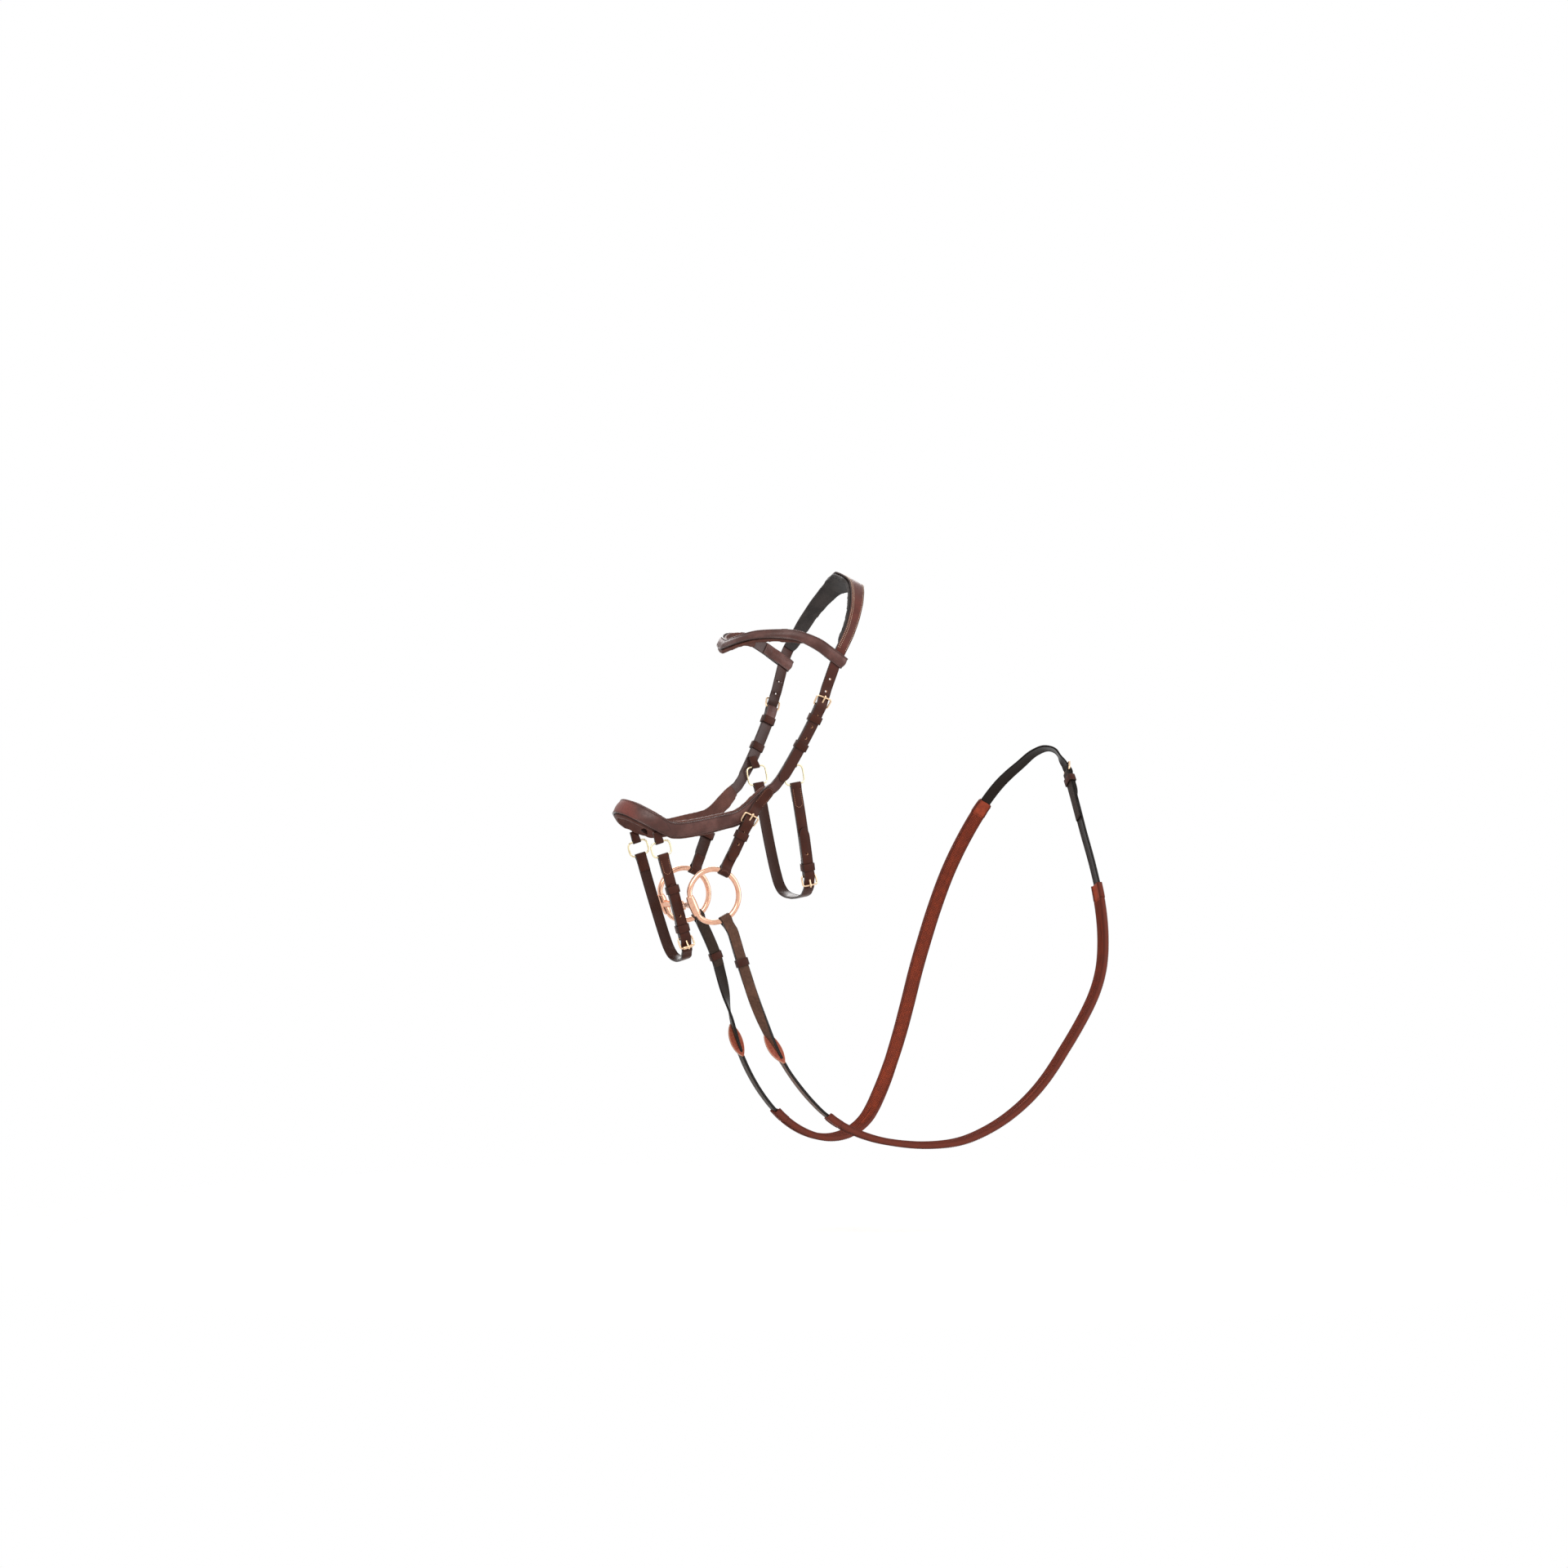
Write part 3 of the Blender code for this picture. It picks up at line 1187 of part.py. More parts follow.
def reins(centre):
    """Both reins with their grips, stops and keepers, joined by a buckle above the withers."""
    line = rein_line(centre)
    crossed = Route(line.places, line.sides)
    end = line.along[-1]
    heel = line.nearest(Vector(crest_line[0])) - buckle_length
    buckle_fold = (buckle_wire, running_clearance, tongue_slot)
    ring_fold = (bit_ring_wire, ring_play, None)
    near_at, off_at = lambda share: share * heel, lambda share: end - share * (end - heel)
    near_marks, off_marks = ([at(share) for share in (grip_start_share, grip_end_share)] for at in (near_at, off_at))
    stop_marks = [stop_length * share for share in (-0.5, -0.25, 0, 0.25, 0.5)]
    near_marks += [near_at(rein_stop_share) + mark for mark in stop_marks]
    off_marks += [off_at(rein_stop_share) + mark for mark in stop_marks]
    stations = folded_strap(
        line, 0, heel, rein_width / 2, rein_thickness, (ring_fold, buckle_fold), rein_tail, extra=near_marks,
    )
    ribbon("near_rein", stations, "rein_leather")
    tip = heel - rein_tip
    over = billet_lift(heel, 1, 0, rein_thickness)
    cuts = [tongue_hole(heel, 1)] + punches(hole_row(heel, 1, (-1,)), hole_size)
    thin = table(((heel + 3 * buckle_length, billet_thickness), (heel + 5 * buckle_length, rein_thickness)))
    fold = fold_thickness(rein_thickness)
    rise = fold_lift(bit_ring_wire, ring_play)
    point = pointed(tip, rein_width / 2, rein_width * 0.8, -1)
    stations = fold_end(line, end, -1, rein_width / 2, rein_thickness, ring_fold, rein_tail, 0) + lay(
        line, end, tip, point, lambda s: min(thin(s), fold(end - s)), lambda s: over(s) + rise(end - s),
        cuts, off_marks + billet_marks(heel, 1) + point_marks(tip, rein_width, -1)
        + [end - fold_run * share for share in (0.33, 0.66, 1)],
    )
    ribbon("off_rein", stations, "rein_leather")
    turn = line.turn(heel, 0, 1)
    buckle("rein_buckle", turn, rein_width, front_lift())
    hang_on(tongue("rein_tongue", turn, front_lift(), buckle_wire), turn.origin)
    low = -rein_thickness / 2 - 2 * layer_gap - ply_thickness
    high = rein_thickness / 2 + 2 * layer_gap + billet_thickness
    keeper("rein_centre_keeper", line.turn(heel - rein_keeper_room, 0, 1), rein_width, low, high, keeper_length)
    for word, at in (("near", near_at), ("off", off_at)):
        spot = line.turn(at(rein_keeper_share), 0, 1)
        keeper(f"{word}_rein_keeper", spot, rein_width, low, -low - ply_thickness, keeper_length)
        start, stop = sorted((at(grip_start_share), at(grip_end_share)))
        half = table((
            (start, grip_width * 0.47), (start + grip_width, grip_width / 2),
            (stop - grip_width, grip_width / 2), (stop, grip_width * 0.47),
        ))
        jacket(
            f"{word}_rein_grip", line, start, stop, half, grip_thickness,
            rein_width + 2 * grip_play, rein_thickness + 2 * grip_play, "rubber",
        )
        middle = at(rein_stop_share)
        first, last = middle - stop_length / 2, middle + stop_length / 2
        slim, full = rein_thickness / 2 + stop_rim, stop_width / 2
        half = table((
            (first, slim), (middle - stop_length / 4, full * stop_belly_share), (middle, full),
            (middle + stop_length / 4, full * stop_belly_share), (last, slim),
        ))
        inner = (rein_thickness + 2 * layer_gap, rein_width + 2 * layer_gap)
        marks = [middle + mark for mark in stop_marks]
        stop_piece = jacket(
            f"{word}_rein_stop", crossed, first, last, half, rein_width + 2 * layer_gap + 2 * stop_wall,
            *inner, "stop_leather", marks,
        )
        hang_on(stop_piece, line.at(middle)[0])


def finish_of(name, colour, roughness, metallic=0.0):
    material = bpy.data.materials.new(name)
    material.use_nodes = True
    shader = material.node_tree.nodes["Principled BSDF"]
    shader.inputs["Base Color"].default_value = (*colour, 1)
    shader.inputs["Roughness"].default_value = roughness
    shader.inputs["Metallic"].default_value = metallic
    return material


for thing in list(bpy.data.objects):
    bpy.data.objects.remove(thing)

finishes = {
    "crown_leather": finish_of("crown_leather", (0.080, 0.026, 0.022), 0.45),
    "noseband_leather": finish_of("noseband_leather", (0.085, 0.030, 0.024), 0.42),
    "browband_leather": finish_of("browband_leather", (0.085, 0.034, 0.028), 0.42),
    "strap_leather": finish_of("strap_leather", (0.045, 0.014, 0.008), 0.40),
    "pad_leather": finish_of("pad_leather", (0.022, 0.013, 0.012), 0.60),
    "rein_leather": finish_of("rein_leather", (0.075, 0.045, 0.028), 0.48),
    "stop_leather": finish_of("stop_leather", (0.220, 0.060, 0.034), 0.50),
    "rubber": finish_of("rubber", (0.120, 0.034, 0.024), 0.70),
    "pale_metal": finish_of("pale_metal", (0.740, 0.500, 0.320), 0.25, 1.0),
    "ring_metal": finish_of("ring_metal", (0.790, 0.670, 0.400), 0.25, 1.0),
    "bit_metal": finish_of("bit_metal", (0.730, 0.390, 0.230), 0.22, 1.0),
}

main_line, hanger_line, hanger_level, brow_line = build_routes()
ring_centre, sleeve_way, sleeve_middle = bit_places(hanger_line)
chin_down = chin_direction(sleeve_middle)
cheek_heel = headstall(main_line, brow_line, chin_down)
cheek_fittings(main_line, cheek_heel)
bit_straps(hanger_line, hanger_level)
bit(ring_centre, sleeve_way, sleeve_middle)
hanging_strap(
    "jaw", jaw_bar_share, jaw_chape_depth, JAW_DOWN, jaw_ring_drop, jaw_drop, jaw_shares, jaw_strap_width,
    jaw_places_share, False,
)
hanging_strap(
    "chin", chin_bar_share, chape_depth, chin_down, chin_ring_drop, chin_drop, chin_shares, chin_strap_width,
    chin_places_share, True,
)
reins(ring_centre)
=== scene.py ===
"""Dresses the anatomic competition bridle in leather, thread, rubber and plated metal, and lights it.

Every strap is drawn anew through the corners of its solid, with rounded edges, a sewn channel and a domed
face. The reins lie on the line that their solids follow.
"""

import json
import math
from collections import namedtuple

import bmesh
import bpy
from mathutils import Matrix, Vector


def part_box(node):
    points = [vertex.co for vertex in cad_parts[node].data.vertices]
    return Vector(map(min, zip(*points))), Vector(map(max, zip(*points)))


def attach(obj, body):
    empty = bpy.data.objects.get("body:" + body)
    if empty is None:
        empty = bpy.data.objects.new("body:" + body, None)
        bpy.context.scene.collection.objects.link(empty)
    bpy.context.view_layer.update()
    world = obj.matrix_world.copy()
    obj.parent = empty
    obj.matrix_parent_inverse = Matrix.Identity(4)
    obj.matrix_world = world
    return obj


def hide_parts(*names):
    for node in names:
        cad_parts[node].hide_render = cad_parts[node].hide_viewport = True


bl_info = {
    "name": "Anatomic Bridle Dressing",
    "version": (1, 0, 0),
    "blender": (4, 5, 0),
    "location": "3D View > Sidebar > Bridle",
    "description": "Leather, stitching, rubber and plated metal for an anatomic bridle with reins",
    "category": "Object",
}

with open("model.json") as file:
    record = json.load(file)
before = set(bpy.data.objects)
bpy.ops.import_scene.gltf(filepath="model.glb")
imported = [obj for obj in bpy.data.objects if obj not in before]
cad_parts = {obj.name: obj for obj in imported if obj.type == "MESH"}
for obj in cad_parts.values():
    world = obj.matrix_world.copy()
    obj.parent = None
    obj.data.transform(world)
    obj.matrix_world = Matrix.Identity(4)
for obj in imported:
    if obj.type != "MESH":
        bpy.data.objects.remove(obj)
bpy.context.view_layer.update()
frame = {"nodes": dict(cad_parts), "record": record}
BODY_OF = {node: body for body, nodes in frame["record"]["behaviour"]["bodies"].items() for node in nodes}
SLOT_OF = {part["node"]: part["material_slot"] for part in frame["record"]["subparts"]}

MM = 0.001
SIDES = ("near", "off")
EDGE_MAP = "along and from edge"

# The line of the reins, in metres, from the near ring to the crest and from the off ring to it.
NEAR_REIN = (
    (-0.204, -0.066, -0.506), (-0.191, -0.075, -0.556), (-0.172, -0.087, -0.622), (-0.144, -0.098, -0.688),
    (-0.110, -0.109, -0.740), (-0.070, -0.119, -0.780), (-0.025, -0.129, -0.803), (0.020, -0.138, -0.814),
    (0.070, -0.148, -0.818), (0.120, -0.157, -0.812), (0.171, -0.162, -0.790), (0.215, -0.164, -0.759),
    (0.249, -0.165, -0.724), (0.278, -0.165, -0.684), (0.306, -0.163, -0.643), (0.330, -0.159, -0.602),
    (0.345, -0.153, -0.560), (0.352, -0.142, -0.510), (0.353, -0.126, -0.459), (0.350, -0.108, -0.412),
    (0.347, -0.086, -0.368), (0.347, -0.060, -0.325), (0.349, -0.034, -0.291),
)
CREST = ((0.3485, -0.014, -0.2675), (0.346, 0.004, -0.248), (0.337, 0.024, -0.241), (0.325, 0.042, -0.248))
OFF_REIN = (
    (-0.200, 0.066, -0.500), (-0.179, 0.070, -0.542), (-0.162, 0.078, -0.590), (-0.146, 0.087, -0.640),
    (-0.128, 0.094, -0.695), (-0.096, 0.103, -0.748), (-0.057, 0.110, -0.790), (-0.016, 0.116, -0.815),
    (0.025, 0.121, -0.824), (0.061, 0.126, -0.817), (0.090, 0.131, -0.797), (0.112, 0.136, -0.762),
    (0.130, 0.140, -0.722), (0.147, 0.144, -0.676), (0.162, 0.147, -0.628), (0.176, 0.148, -0.578),
    (0.191, 0.148, -0.530), (0.207, 0.146, -0.481), (0.225, 0.138, -0.428), (0.246, 0.124, -0.376),
    (0.269, 0.104, -0.327), (0.290, 0.082, -0.291), (0.310, 0.060, -0.266),
)

# Places that a strap's worn side faces away from: inside the head, the loops under it and the reins.
HEAD_MIDDLE = Vector((-0.150, 0, -0.250))
LOOP_MIDDLE = {"jaw": Vector((-0.090, 0, -0.370)), "chin": Vector((-0.280, 0, -0.470))}
REINS_MIDDLE = Vector((0.090, 0, -0.560))

# Sizes of the solids that the dressing follows, and places on them, in metres.
RING_RADIUS = 0.0385
RING_WIRE = 0.0078
BUCKLE_WIRE = 0.0026
SMALL_WIRE = 0.0028
TONGUE_THICKNESS = 0.0012
CROWN_SEAM = 0.360
FLAT_FROM = 0.0016
SEAM_CORNER = 0.0045
WEDGE_TIP = Vector((-0.2954, 0.055, -0.360))
WEDGE_LENGTH = 0.014
RING_PASS = Vector((-0.1247, 0.075, -0.2916))
ROLL_TAPER = 0.030
BAND_LEAD = {"browband": 0.030, "noseband": 0.032}

# How the noseband's rear edge gives way to a jaw ring, and how far round the ring's place.
RING_ROOM = 2.4 * MM
RING_REACH = 40 * MM

# The bend that parts a solid's surfaces, how finely straps are drawn, how far from its ends a dome is full,
# the width below which a face counts as a cut edge, and the least distance between two rows.
BEND = math.radians(66)
ROW_STEP = 3 * MM
REIN_STEP = 5 * MM
DOME_RISE = 8 * MM
CUT_WIDTH = 1.9 * MM
LEAST = 0.01 * MM

# Half the width of a wide band's sewn channel, the place, depth and half width of a narrow strap's, the dome
# of the crown, and the radius of a small fitting's edges.
CHANNEL_REACH = 1.1 * MM
NARROW_CHANNEL = (1.9 * MM, 0.15 * MM, 0.7 * MM)
CROWN_DOME = 0.5 * MM
FITTING_EDGE = 0.3 * MM

# Where the crown's painted light from above gives way, on its way down, to the darker strap colour, and where
# the noseband turns pale on its way forward.
CROWN_PAINTED_LIGHT_FADE = (-0.095, -0.150)
NOSE_PALE = (-0.336, -0.350)

# The punch: its depth, the shares of a hole's radius at its narrow and wide ends, how far from the hole's
# centre its wall can lie, and the rise over which the punch is wider by the hole's radius.
PUNCH_DEPTH = 8 * MM
PUNCH_SHARES = (0.45, 1.55)
WALL_REACH = 3 * MM
WALL_SPREAD = 7 * MM

# The share of its radius that a wire with six or eight sides loses when it is rounded, what the jaw rings
# grow by instead, as they swing close to the noseband, the roller's growth and the bit's rounds of smoothing.
SIX_SIDED_SHARE = 0.2
EIGHT_SIDED_SHARE = 0.109
JAW_RING_SHARE = 0.06
ROLLER_GROWTH = 0.06 * MM
BIT_ROUNDS = 8

# Linings: the fineness of their mesh, their rounds of smoothing, the frames, steps and pressure that fill
# them, and how full they are.
PAD_VOXEL = 1.5 * MM
PAD_ROUNDS = 26
PAD_FRAMES = 20
PAD_QUALITY = 5
PAD_PRESSURE = 4

# Stitches: their share of the spacing, their slant, how deep they lie in a wide band's channel, and their
# distance from the edge on a narrow strap, on the straps under jaw and chin, and in the crown's inner row.
STITCH_SHARE = 0.78
STITCH_SLANT = math.radians(9)
STITCH_DEPTH = 0.3 * MM
NARROW_INSET = 2.0 * MM
LOOP_INSET = 2.4 * MM
INNER_INSET = 4.6 * MM

# Lengths of the seams that close a billet's tip, a hanger's fold, and the folds under jaw and chin; where
# those start, and how far past its bar a fold turns.
TIP_SEAM = 30 * MM
HANGER_SEAM = 26 * MM
LOOP_SEAMS = {"jaw": 40 * MM, "chin": 34 * MM}
LOOP_SEAM_START = 12 * MM
FOLD_REACH = 4 * MM

# Grips: the radius of their edges, the inset of the border's stitches, the thickness that an end sleeve adds,
# and the share of the spacing that a pimple is wide.
GRIP_EDGE = 2.4 * MM
BORDER_INSET = 2.2 * MM
SLEEVE_RAISE = 0.5 * MM
PIMPLE_SHARE = 0.8

# The middle of the photograph's frame, the floor, the light from all round, and the lamps: place from that
# middle, size, power and colour.
VIEW_CENTRE = Vector((-0.0834, 0.0338, -0.295))
FLOOR_LEVEL = -0.95
FLOOR_RADIUS = 1.35
WORLD_LIGHT = 0.55
LAMPS = (
    ("key", (-1.6, -2.6, 2.2), 2.4, 95, "#FFFDFA"),
    ("fill", (2.6, -2.0, 0.6), 2.6, 45, "#FAFCFF"),
    ("back", (0.8, 2.4, 1.8), 2.0, 50, "#FFFFFF"),
)

Row = namedtuple("Row", "left right left_under right_under")


def inside_of(node_name):
    """The place that the node's worn side faces away from."""
    for word, place in LOOP_MIDDLE.items():
        if node_name.startswith(word):
            return place
    return REINS_MIDDLE if "rein" in node_name else HEAD_MIDDLE


def linear(code):
    """A colour that Blender can use, from an sRGB hex code."""
    parts = [int(code[i:i + 2], 16) / 255 for i in (1, 3, 5)]
    return [c / 12.92 if c <= 0.04045 else ((c + 0.055) / 1.055) ** 2.4 for c in parts]


def linked(name, data):
    """A new object with that data, in the scene."""
    thing = bpy.data.objects.new(name, data)
    bpy.context.scene.collection.objects.link(thing)
    return thing


def meshed(name, shape):
    """A mesh from a shape, which is then let go."""
    mesh = bpy.data.meshes.new(name)
    shape.to_mesh(mesh)
    shape.free()
    return mesh


def taken(thing, name):
    """The mesh of an object with its modifiers applied; the object goes."""
    bpy.context.view_layer.update()
    graph = bpy.context.evaluated_depsgraph_get()
    mesh = bpy.data.meshes.new_from_object(
        thing.evaluated_get(graph), preserve_all_data_layers=True, depsgraph=graph,
    )
    mesh.name = name
    bpy.data.objects.remove(thing)
    return mesh


# Strap shapes from the solids


def merged(node_name):
    """The solid's mesh with its doubled points merged."""
    shape = bmesh.new()
    shape.from_mesh(frame["nodes"][node_name].data)
    bmesh.ops.remove_doubles(shape, verts=shape.verts, dist=0.002 * MM)
    shape.faces.ensure_lookup_table()
    shape.normal_update()
    return shape


def surfaces(shape):
    """Groups of faces that meet at a slight bend: a strap's faces, its walls and those of its holes."""
    seen, groups = set(), []
    for first in shape.faces:
        if first.index in seen:
            continue
        group, todo = [], [first]
        seen.add(first.index)
        while todo:
            face = todo.pop()
            group.append(face)
            for edge in face.edges:
                for other in edge.link_faces:
                    if other.index not in seen and edge.calc_face_angle(math.pi) < BEND:
                        seen.add(other.index)
                        todo.append(other)
        groups.append(group)
    return groups


def outlines(group):
    """The closed loops of points round a group of faces, longest first."""
    inside = set(group)
    following = {}
    for face in group:
        for loop in face.loops:
            if not any(other in inside for other in loop.edge.link_faces if other is not face):
                following[loop.vert] = loop.link_loop_next.vert
    loops = []
    while following:
        start = next(iter(following))
        line, at = [start], following.pop(start)
        while at is not start and at in following:
            line.append(at)
            at = following.pop(at)
        loops.append(line)
    return sorted(loops, key=lambda line: -sum((a.co - b.co).length for a, b in zip(line, line[1:])))


def paired(line):
    """The two long sides of a strap's outline, point for point, from the turn at which they lie closest."""
    count = len(line)
    best = None
    for turn in range(count):
        pairs = ((line[(turn + i) % count].co, line[turn - 1 - i].co) for i in range(count // 2))
        miss = sum((a - b).length for a, b in pairs)
        if best is None or miss < best[0]:
            best = miss, turn
    turn = best[1]
    half = count // 2
    return [line[(turn + i) % count] for i in range(half)], [line[turn - 1 - i] for i in range(half)]


def sides_of(line):
    """The outline's long sides; where one side has a point more, the point that fits worst is left out."""
    if len(line) % 2 == 0:
        return paired(line)
    best = None
    for drop in range(len(line)):
        a, b = paired(line[:drop] + line[drop + 1:])
        miss = sum((p.co - q.co).length for p, q in zip(a, b))
        if best is None or miss < best[0]:
            best = miss, (a, b)
    return best[1]


def rows_of(node_name):
    """The rows of a strap's solid from end to end, and the centres and directions of its holes."""
    shape = merged(node_name)
    aim = inside_of(node_name)
    faces = sorted(surfaces(shape), key=lambda group: -sum(f.calc_area() for f in group))[:2]
    faces.sort(key=lambda group: -sum(
        (f.calc_center_median() - aim).dot(f.normal) * f.calc_area() for f in group
    ))
    face, back = ({vert for part in group for vert in part.verts} for group in faces)

    def under(vert):
        """The point across the strap's wall."""
        others = [edge.other_vert(vert) for edge in vert.link_edges]
        near = [other.co for other in others if other in back and other not in face]
        return min(near, key=lambda place: (place - vert.co).length).copy()

    loops = outlines(faces[0])
    left, right = sides_of(loops[0])
    rows = [Row(a.co.copy(), b.co.copy(), under(a), under(b)) for a, b in zip(left, right)]
    holes = []
    for loop in loops[1:]:
        if len(loop) == 8:
            corners = [vert.co for vert in loop]
            centre = sum(corners, Vector()) / 8
            normal = (corners[0] - centre).cross(corners[2] - centre).normalized()
            holes.append((centre, normal if normal.dot(centre - aim) > 0 else -normal))
    shape.free()
    return rows, holes


def middles_of(rows):
    """The middle of each row on its outer face."""
    return [(row.left + row.right) / 2 for row in rows]


def across(row, side, face):
    """A row's corner at the left or right of a face, side -1 or 1, and the corner across from it."""
    a, b = (row.left, row.right) if face > 0 else (row.left_under, row.right_under)
    return (b, a) if side > 0 else (a, b)


def closest(places, place):
    """The number of the place nearest to the given one."""
    return min(range(len(places)), key=lambda i: (places[i] - place).length)


def smooth_rows(rows, step):
    """More rows between the solid's own, on smooth lines through their corners."""
    middles = middles_of(rows)
    gaps = [max((b - a).length, LEAST) for a, b in zip(middles, middles[1:])]
    last = len(rows) - 1

    def slope(track, i):
        """The way a corner's line goes at a row, from the rows before and after it."""
        if i in (0, last):
            j = min(i, last - 1)
            return (track[j + 1] - track[j]) / gaps[j]
        before = (track[i] - track[i - 1]) / gaps[i - 1]
        after = (track[i + 1] - track[i]) / gaps[i]
        return (before * gaps[i] + after * gaps[i - 1]) / (gaps[i] + gaps[i - 1])

    tracks = list(zip(*rows))
    slopes = [[slope(track, i) for i in range(last + 1)] for track in tracks]
    fine = []
    for i, gap in enumerate(gaps):
        turn = 0
        if i not in (0, last - 1):
            turn = (middles[i] - middles[i - 1]).angle(middles[i + 1] - middles[i], 0)
        count = max(1, math.ceil(gap / step), 2 if turn > math.radians(20) else 1)
        for k in range(count):
            t = k / count
            rise = 3 * t ** 2 - 2 * t ** 3
            leave = (t ** 3 - 2 * t ** 2 + t) * gap
            arrive = (t ** 3 - t ** 2) * gap
            fine.append(Row(*(
                track[i] * (1 - rise) + tilt[i] * leave + track[i + 1] * rise + tilt[i + 1] * arrive
                for track, tilt in zip(tracks, slopes)
            )))
    return fine + [rows[-1]]


def measured(rows):
    """Each row's distance along the strap, and its outward direction."""
    along, outs = [0.0], []
    middles = middles_of(rows)
    for a, b in zip(middles, middles[1:]):
        along.append(along[-1] + (b - a).length)
    for row in rows:
        outs.append((row.left + row.right - row.left_under - row.right_under).normalized())
    return along, outs


def section(width, thick, edge, channel, dome):
    """Points round a strap's cross section, from the left wall, as side, distance from it, height and face.

    Height is from the outer face for face 1 and from the lining face for face -1.
    """
    edge = min(edge, thick * 0.49, width * 0.2)
    half = width / 2
    middle = half - 0.001 * MM
    turns = [math.radians(degrees) for degrees in (0, 30, 60, 90)]
    arc = [(edge * (1 - math.cos(a)), edge * (1 - math.sin(a))) for a in turns]
    top = [(x, -z) for x, z in arc]
    if channel:
        place, depth, reach = channel
        depth = depth if place + reach < half else 0
        top += [(min(x, middle), z) for x, z in ((place - reach, 0), (place, -depth), (place + reach, 0))]
    else:
        top += [(min(FLAT_FROM, middle), 0)]
    if dome is not None:
        start = min((channel[0] + channel[2]) if channel else FLAT_FROM, middle)
        spread = half - start
        top += [(start + spread * s, dome * math.sin(s * math.pi / 2)) for s in (0.25, 0.5, 0.75, 1)]
    outer = [(-1, x, z, 1) for x, z in top]
    outer += [(1, x, z, 1) for x, z in reversed(top[:-1] if dome is not None else top)]
    under = [(1, x, -z, -1) for x, z in arc] + [(-1, x, -z, -1) for x, z in reversed(arc)]
    return outer + under


def strap_mesh(name, rows, edge, channel=None, dome=None, step=ROW_STEP):
    """A closed strap through its rows, with rounded edges, a channel for the stitches and a domed face.

    Its UV map holds the distance along the strap and the distance from the nearer edge, in metres.
    """
    rows = smooth_rows(rows, step)
    along, outs = measured(rows)
    shape = bmesh.new()
    uv = shape.loops.layers.uv.new(EDGE_MAP)
    place_of, rings = {}, []
    most = max((row.left - row.right).length for row in rows)
    for i, row in enumerate(rows):
        width = (row.left - row.right).length
        thick = (row.left - row.left_under).length
        ends = min(along[i], along[-1] - along[i])
        rise = None if dome is None else dome * min(1, ends / DOME_RISE) * (width / most) ** 2
        ring = []
        for side, x, z, face in section(width, thick, edge, channel, rise):
            a, b = across(row, side, face)
            run = (b - a).normalized()
            vert = shape.verts.new(a + run * min(x, width / 2) + outs[i] * z)
            place_of[vert] = (along[i], x)
            ring.append(vert)
        rings.append(ring)
    size = len(rings[0])
    for a, b in zip(rings, rings[1:]):
        for k in range(size):
            shape.faces.new((a[k], a[(k + 1) % size], b[(k + 1) % size], b[k]))
    shape.faces.new(rings[0][::-1])
    shape.faces.new(rings[-1])
    bmesh.ops.recalc_face_normals(shape, faces=shape.faces)
    for face in shape.faces:
        face.smooth = len(face.verts) == 4
        for loop in face.loops:
            loop[uv].uv = place_of[loop.vert]
    return meshed(name, shape)


# Pieces from meshes


def shown(name, mesh, node_name, material):
    """Puts a mesh in the scene with its finish, on the body of a solid that it doesn't stand for."""
    thing = linked(name, mesh)
    mesh.materials.clear()
    mesh.materials.append(material)
    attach(thing, BODY_OF[node_name])
    return thing


def put(name, mesh, material):
    """Puts a finished mesh in the scene: it rides with its solid's body and stands for that solid."""
    thing = shown(f"{name}_{SLOT_OF[name].split('_')[-1]}", mesh, name, material)
    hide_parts(name)
    return thing


def applied(mesh, *steps):
    """A mesh with modifiers applied; each step is a type and its settings."""
    thing = linked("work", mesh)
    for kind, settings in steps:
        modifier = thing.modifiers.new(kind.lower(), kind)
        for key, value in settings.items():
            setattr(modifier, key, value)
    return taken(thing, mesh.name)


def punched(thing, node_name, radius):
    """Cuts a strap's round holes; their walls, worn to a slight funnel, show the raw leather."""
    marks = holes(node_name)
    if not marks:
        return
    shape = bmesh.new()
    low, high = (radius * share for share in PUNCH_SHARES)
    for centre, normal in marks:
        turn = normal.to_track_quat("Z", "Y").to_matrix().to_4x4()
        turn.translation = centre
        bmesh.ops.create_cone(
            shape, cap_ends=True, segments=20, radius1=low, radius2=high, depth=PUNCH_DEPTH, matrix=turn,
        )
    punch = linked("punches", meshed("punches", shape))
    look = thing.data.materials[0]
    mesh = applied(thing.data, ("BOOLEAN", {"operation": "DIFFERENCE", "solver": "EXACT", "object": punch}))
    bpy.data.objects.remove(punch)
    if len(mesh.polygons) < len(thing.data.polygons):
        raise RuntimeError(f"the punch has spoiled {thing.name}")
    mesh.materials.clear()
    mesh.materials.append(look)
    mesh.materials.append(raw_hide())
    for part in mesh.polygons:
        part.material_index = 0
        for centre, normal in marks:
            away = part.center - centre
            rise = away.dot(normal)
            within = (away - normal * rise).length < radius * (1 + rise / WALL_SPREAD)
            if abs(rise) < WALL_REACH and within and abs(part.normal.dot(normal)) < 0.5:
                part.material_index = 1
                part.use_smooth = True
    thing.data = mesh


def with_edges(mesh):
    """Gives a mesh the map of its edges, where its narrow faces count as cut edges."""
    shape = bmesh.new()
    shape.from_mesh(mesh)
    uv = shape.loops.layers.uv.new(EDGE_MAP)
    for face in shape.faces:
        lengths = sorted(edge.calc_length() for edge in face.edges)
        edge_face = lengths[0] < CUT_WIDTH and face.calc_area() / max(lengths[-1], MM) < CUT_WIDTH
        for loop in face.loops:
            loop[uv].uv = (0, 0 if edge_face else 5 * MM)
    shape.to_mesh(mesh)
    shape.free()
    return mesh


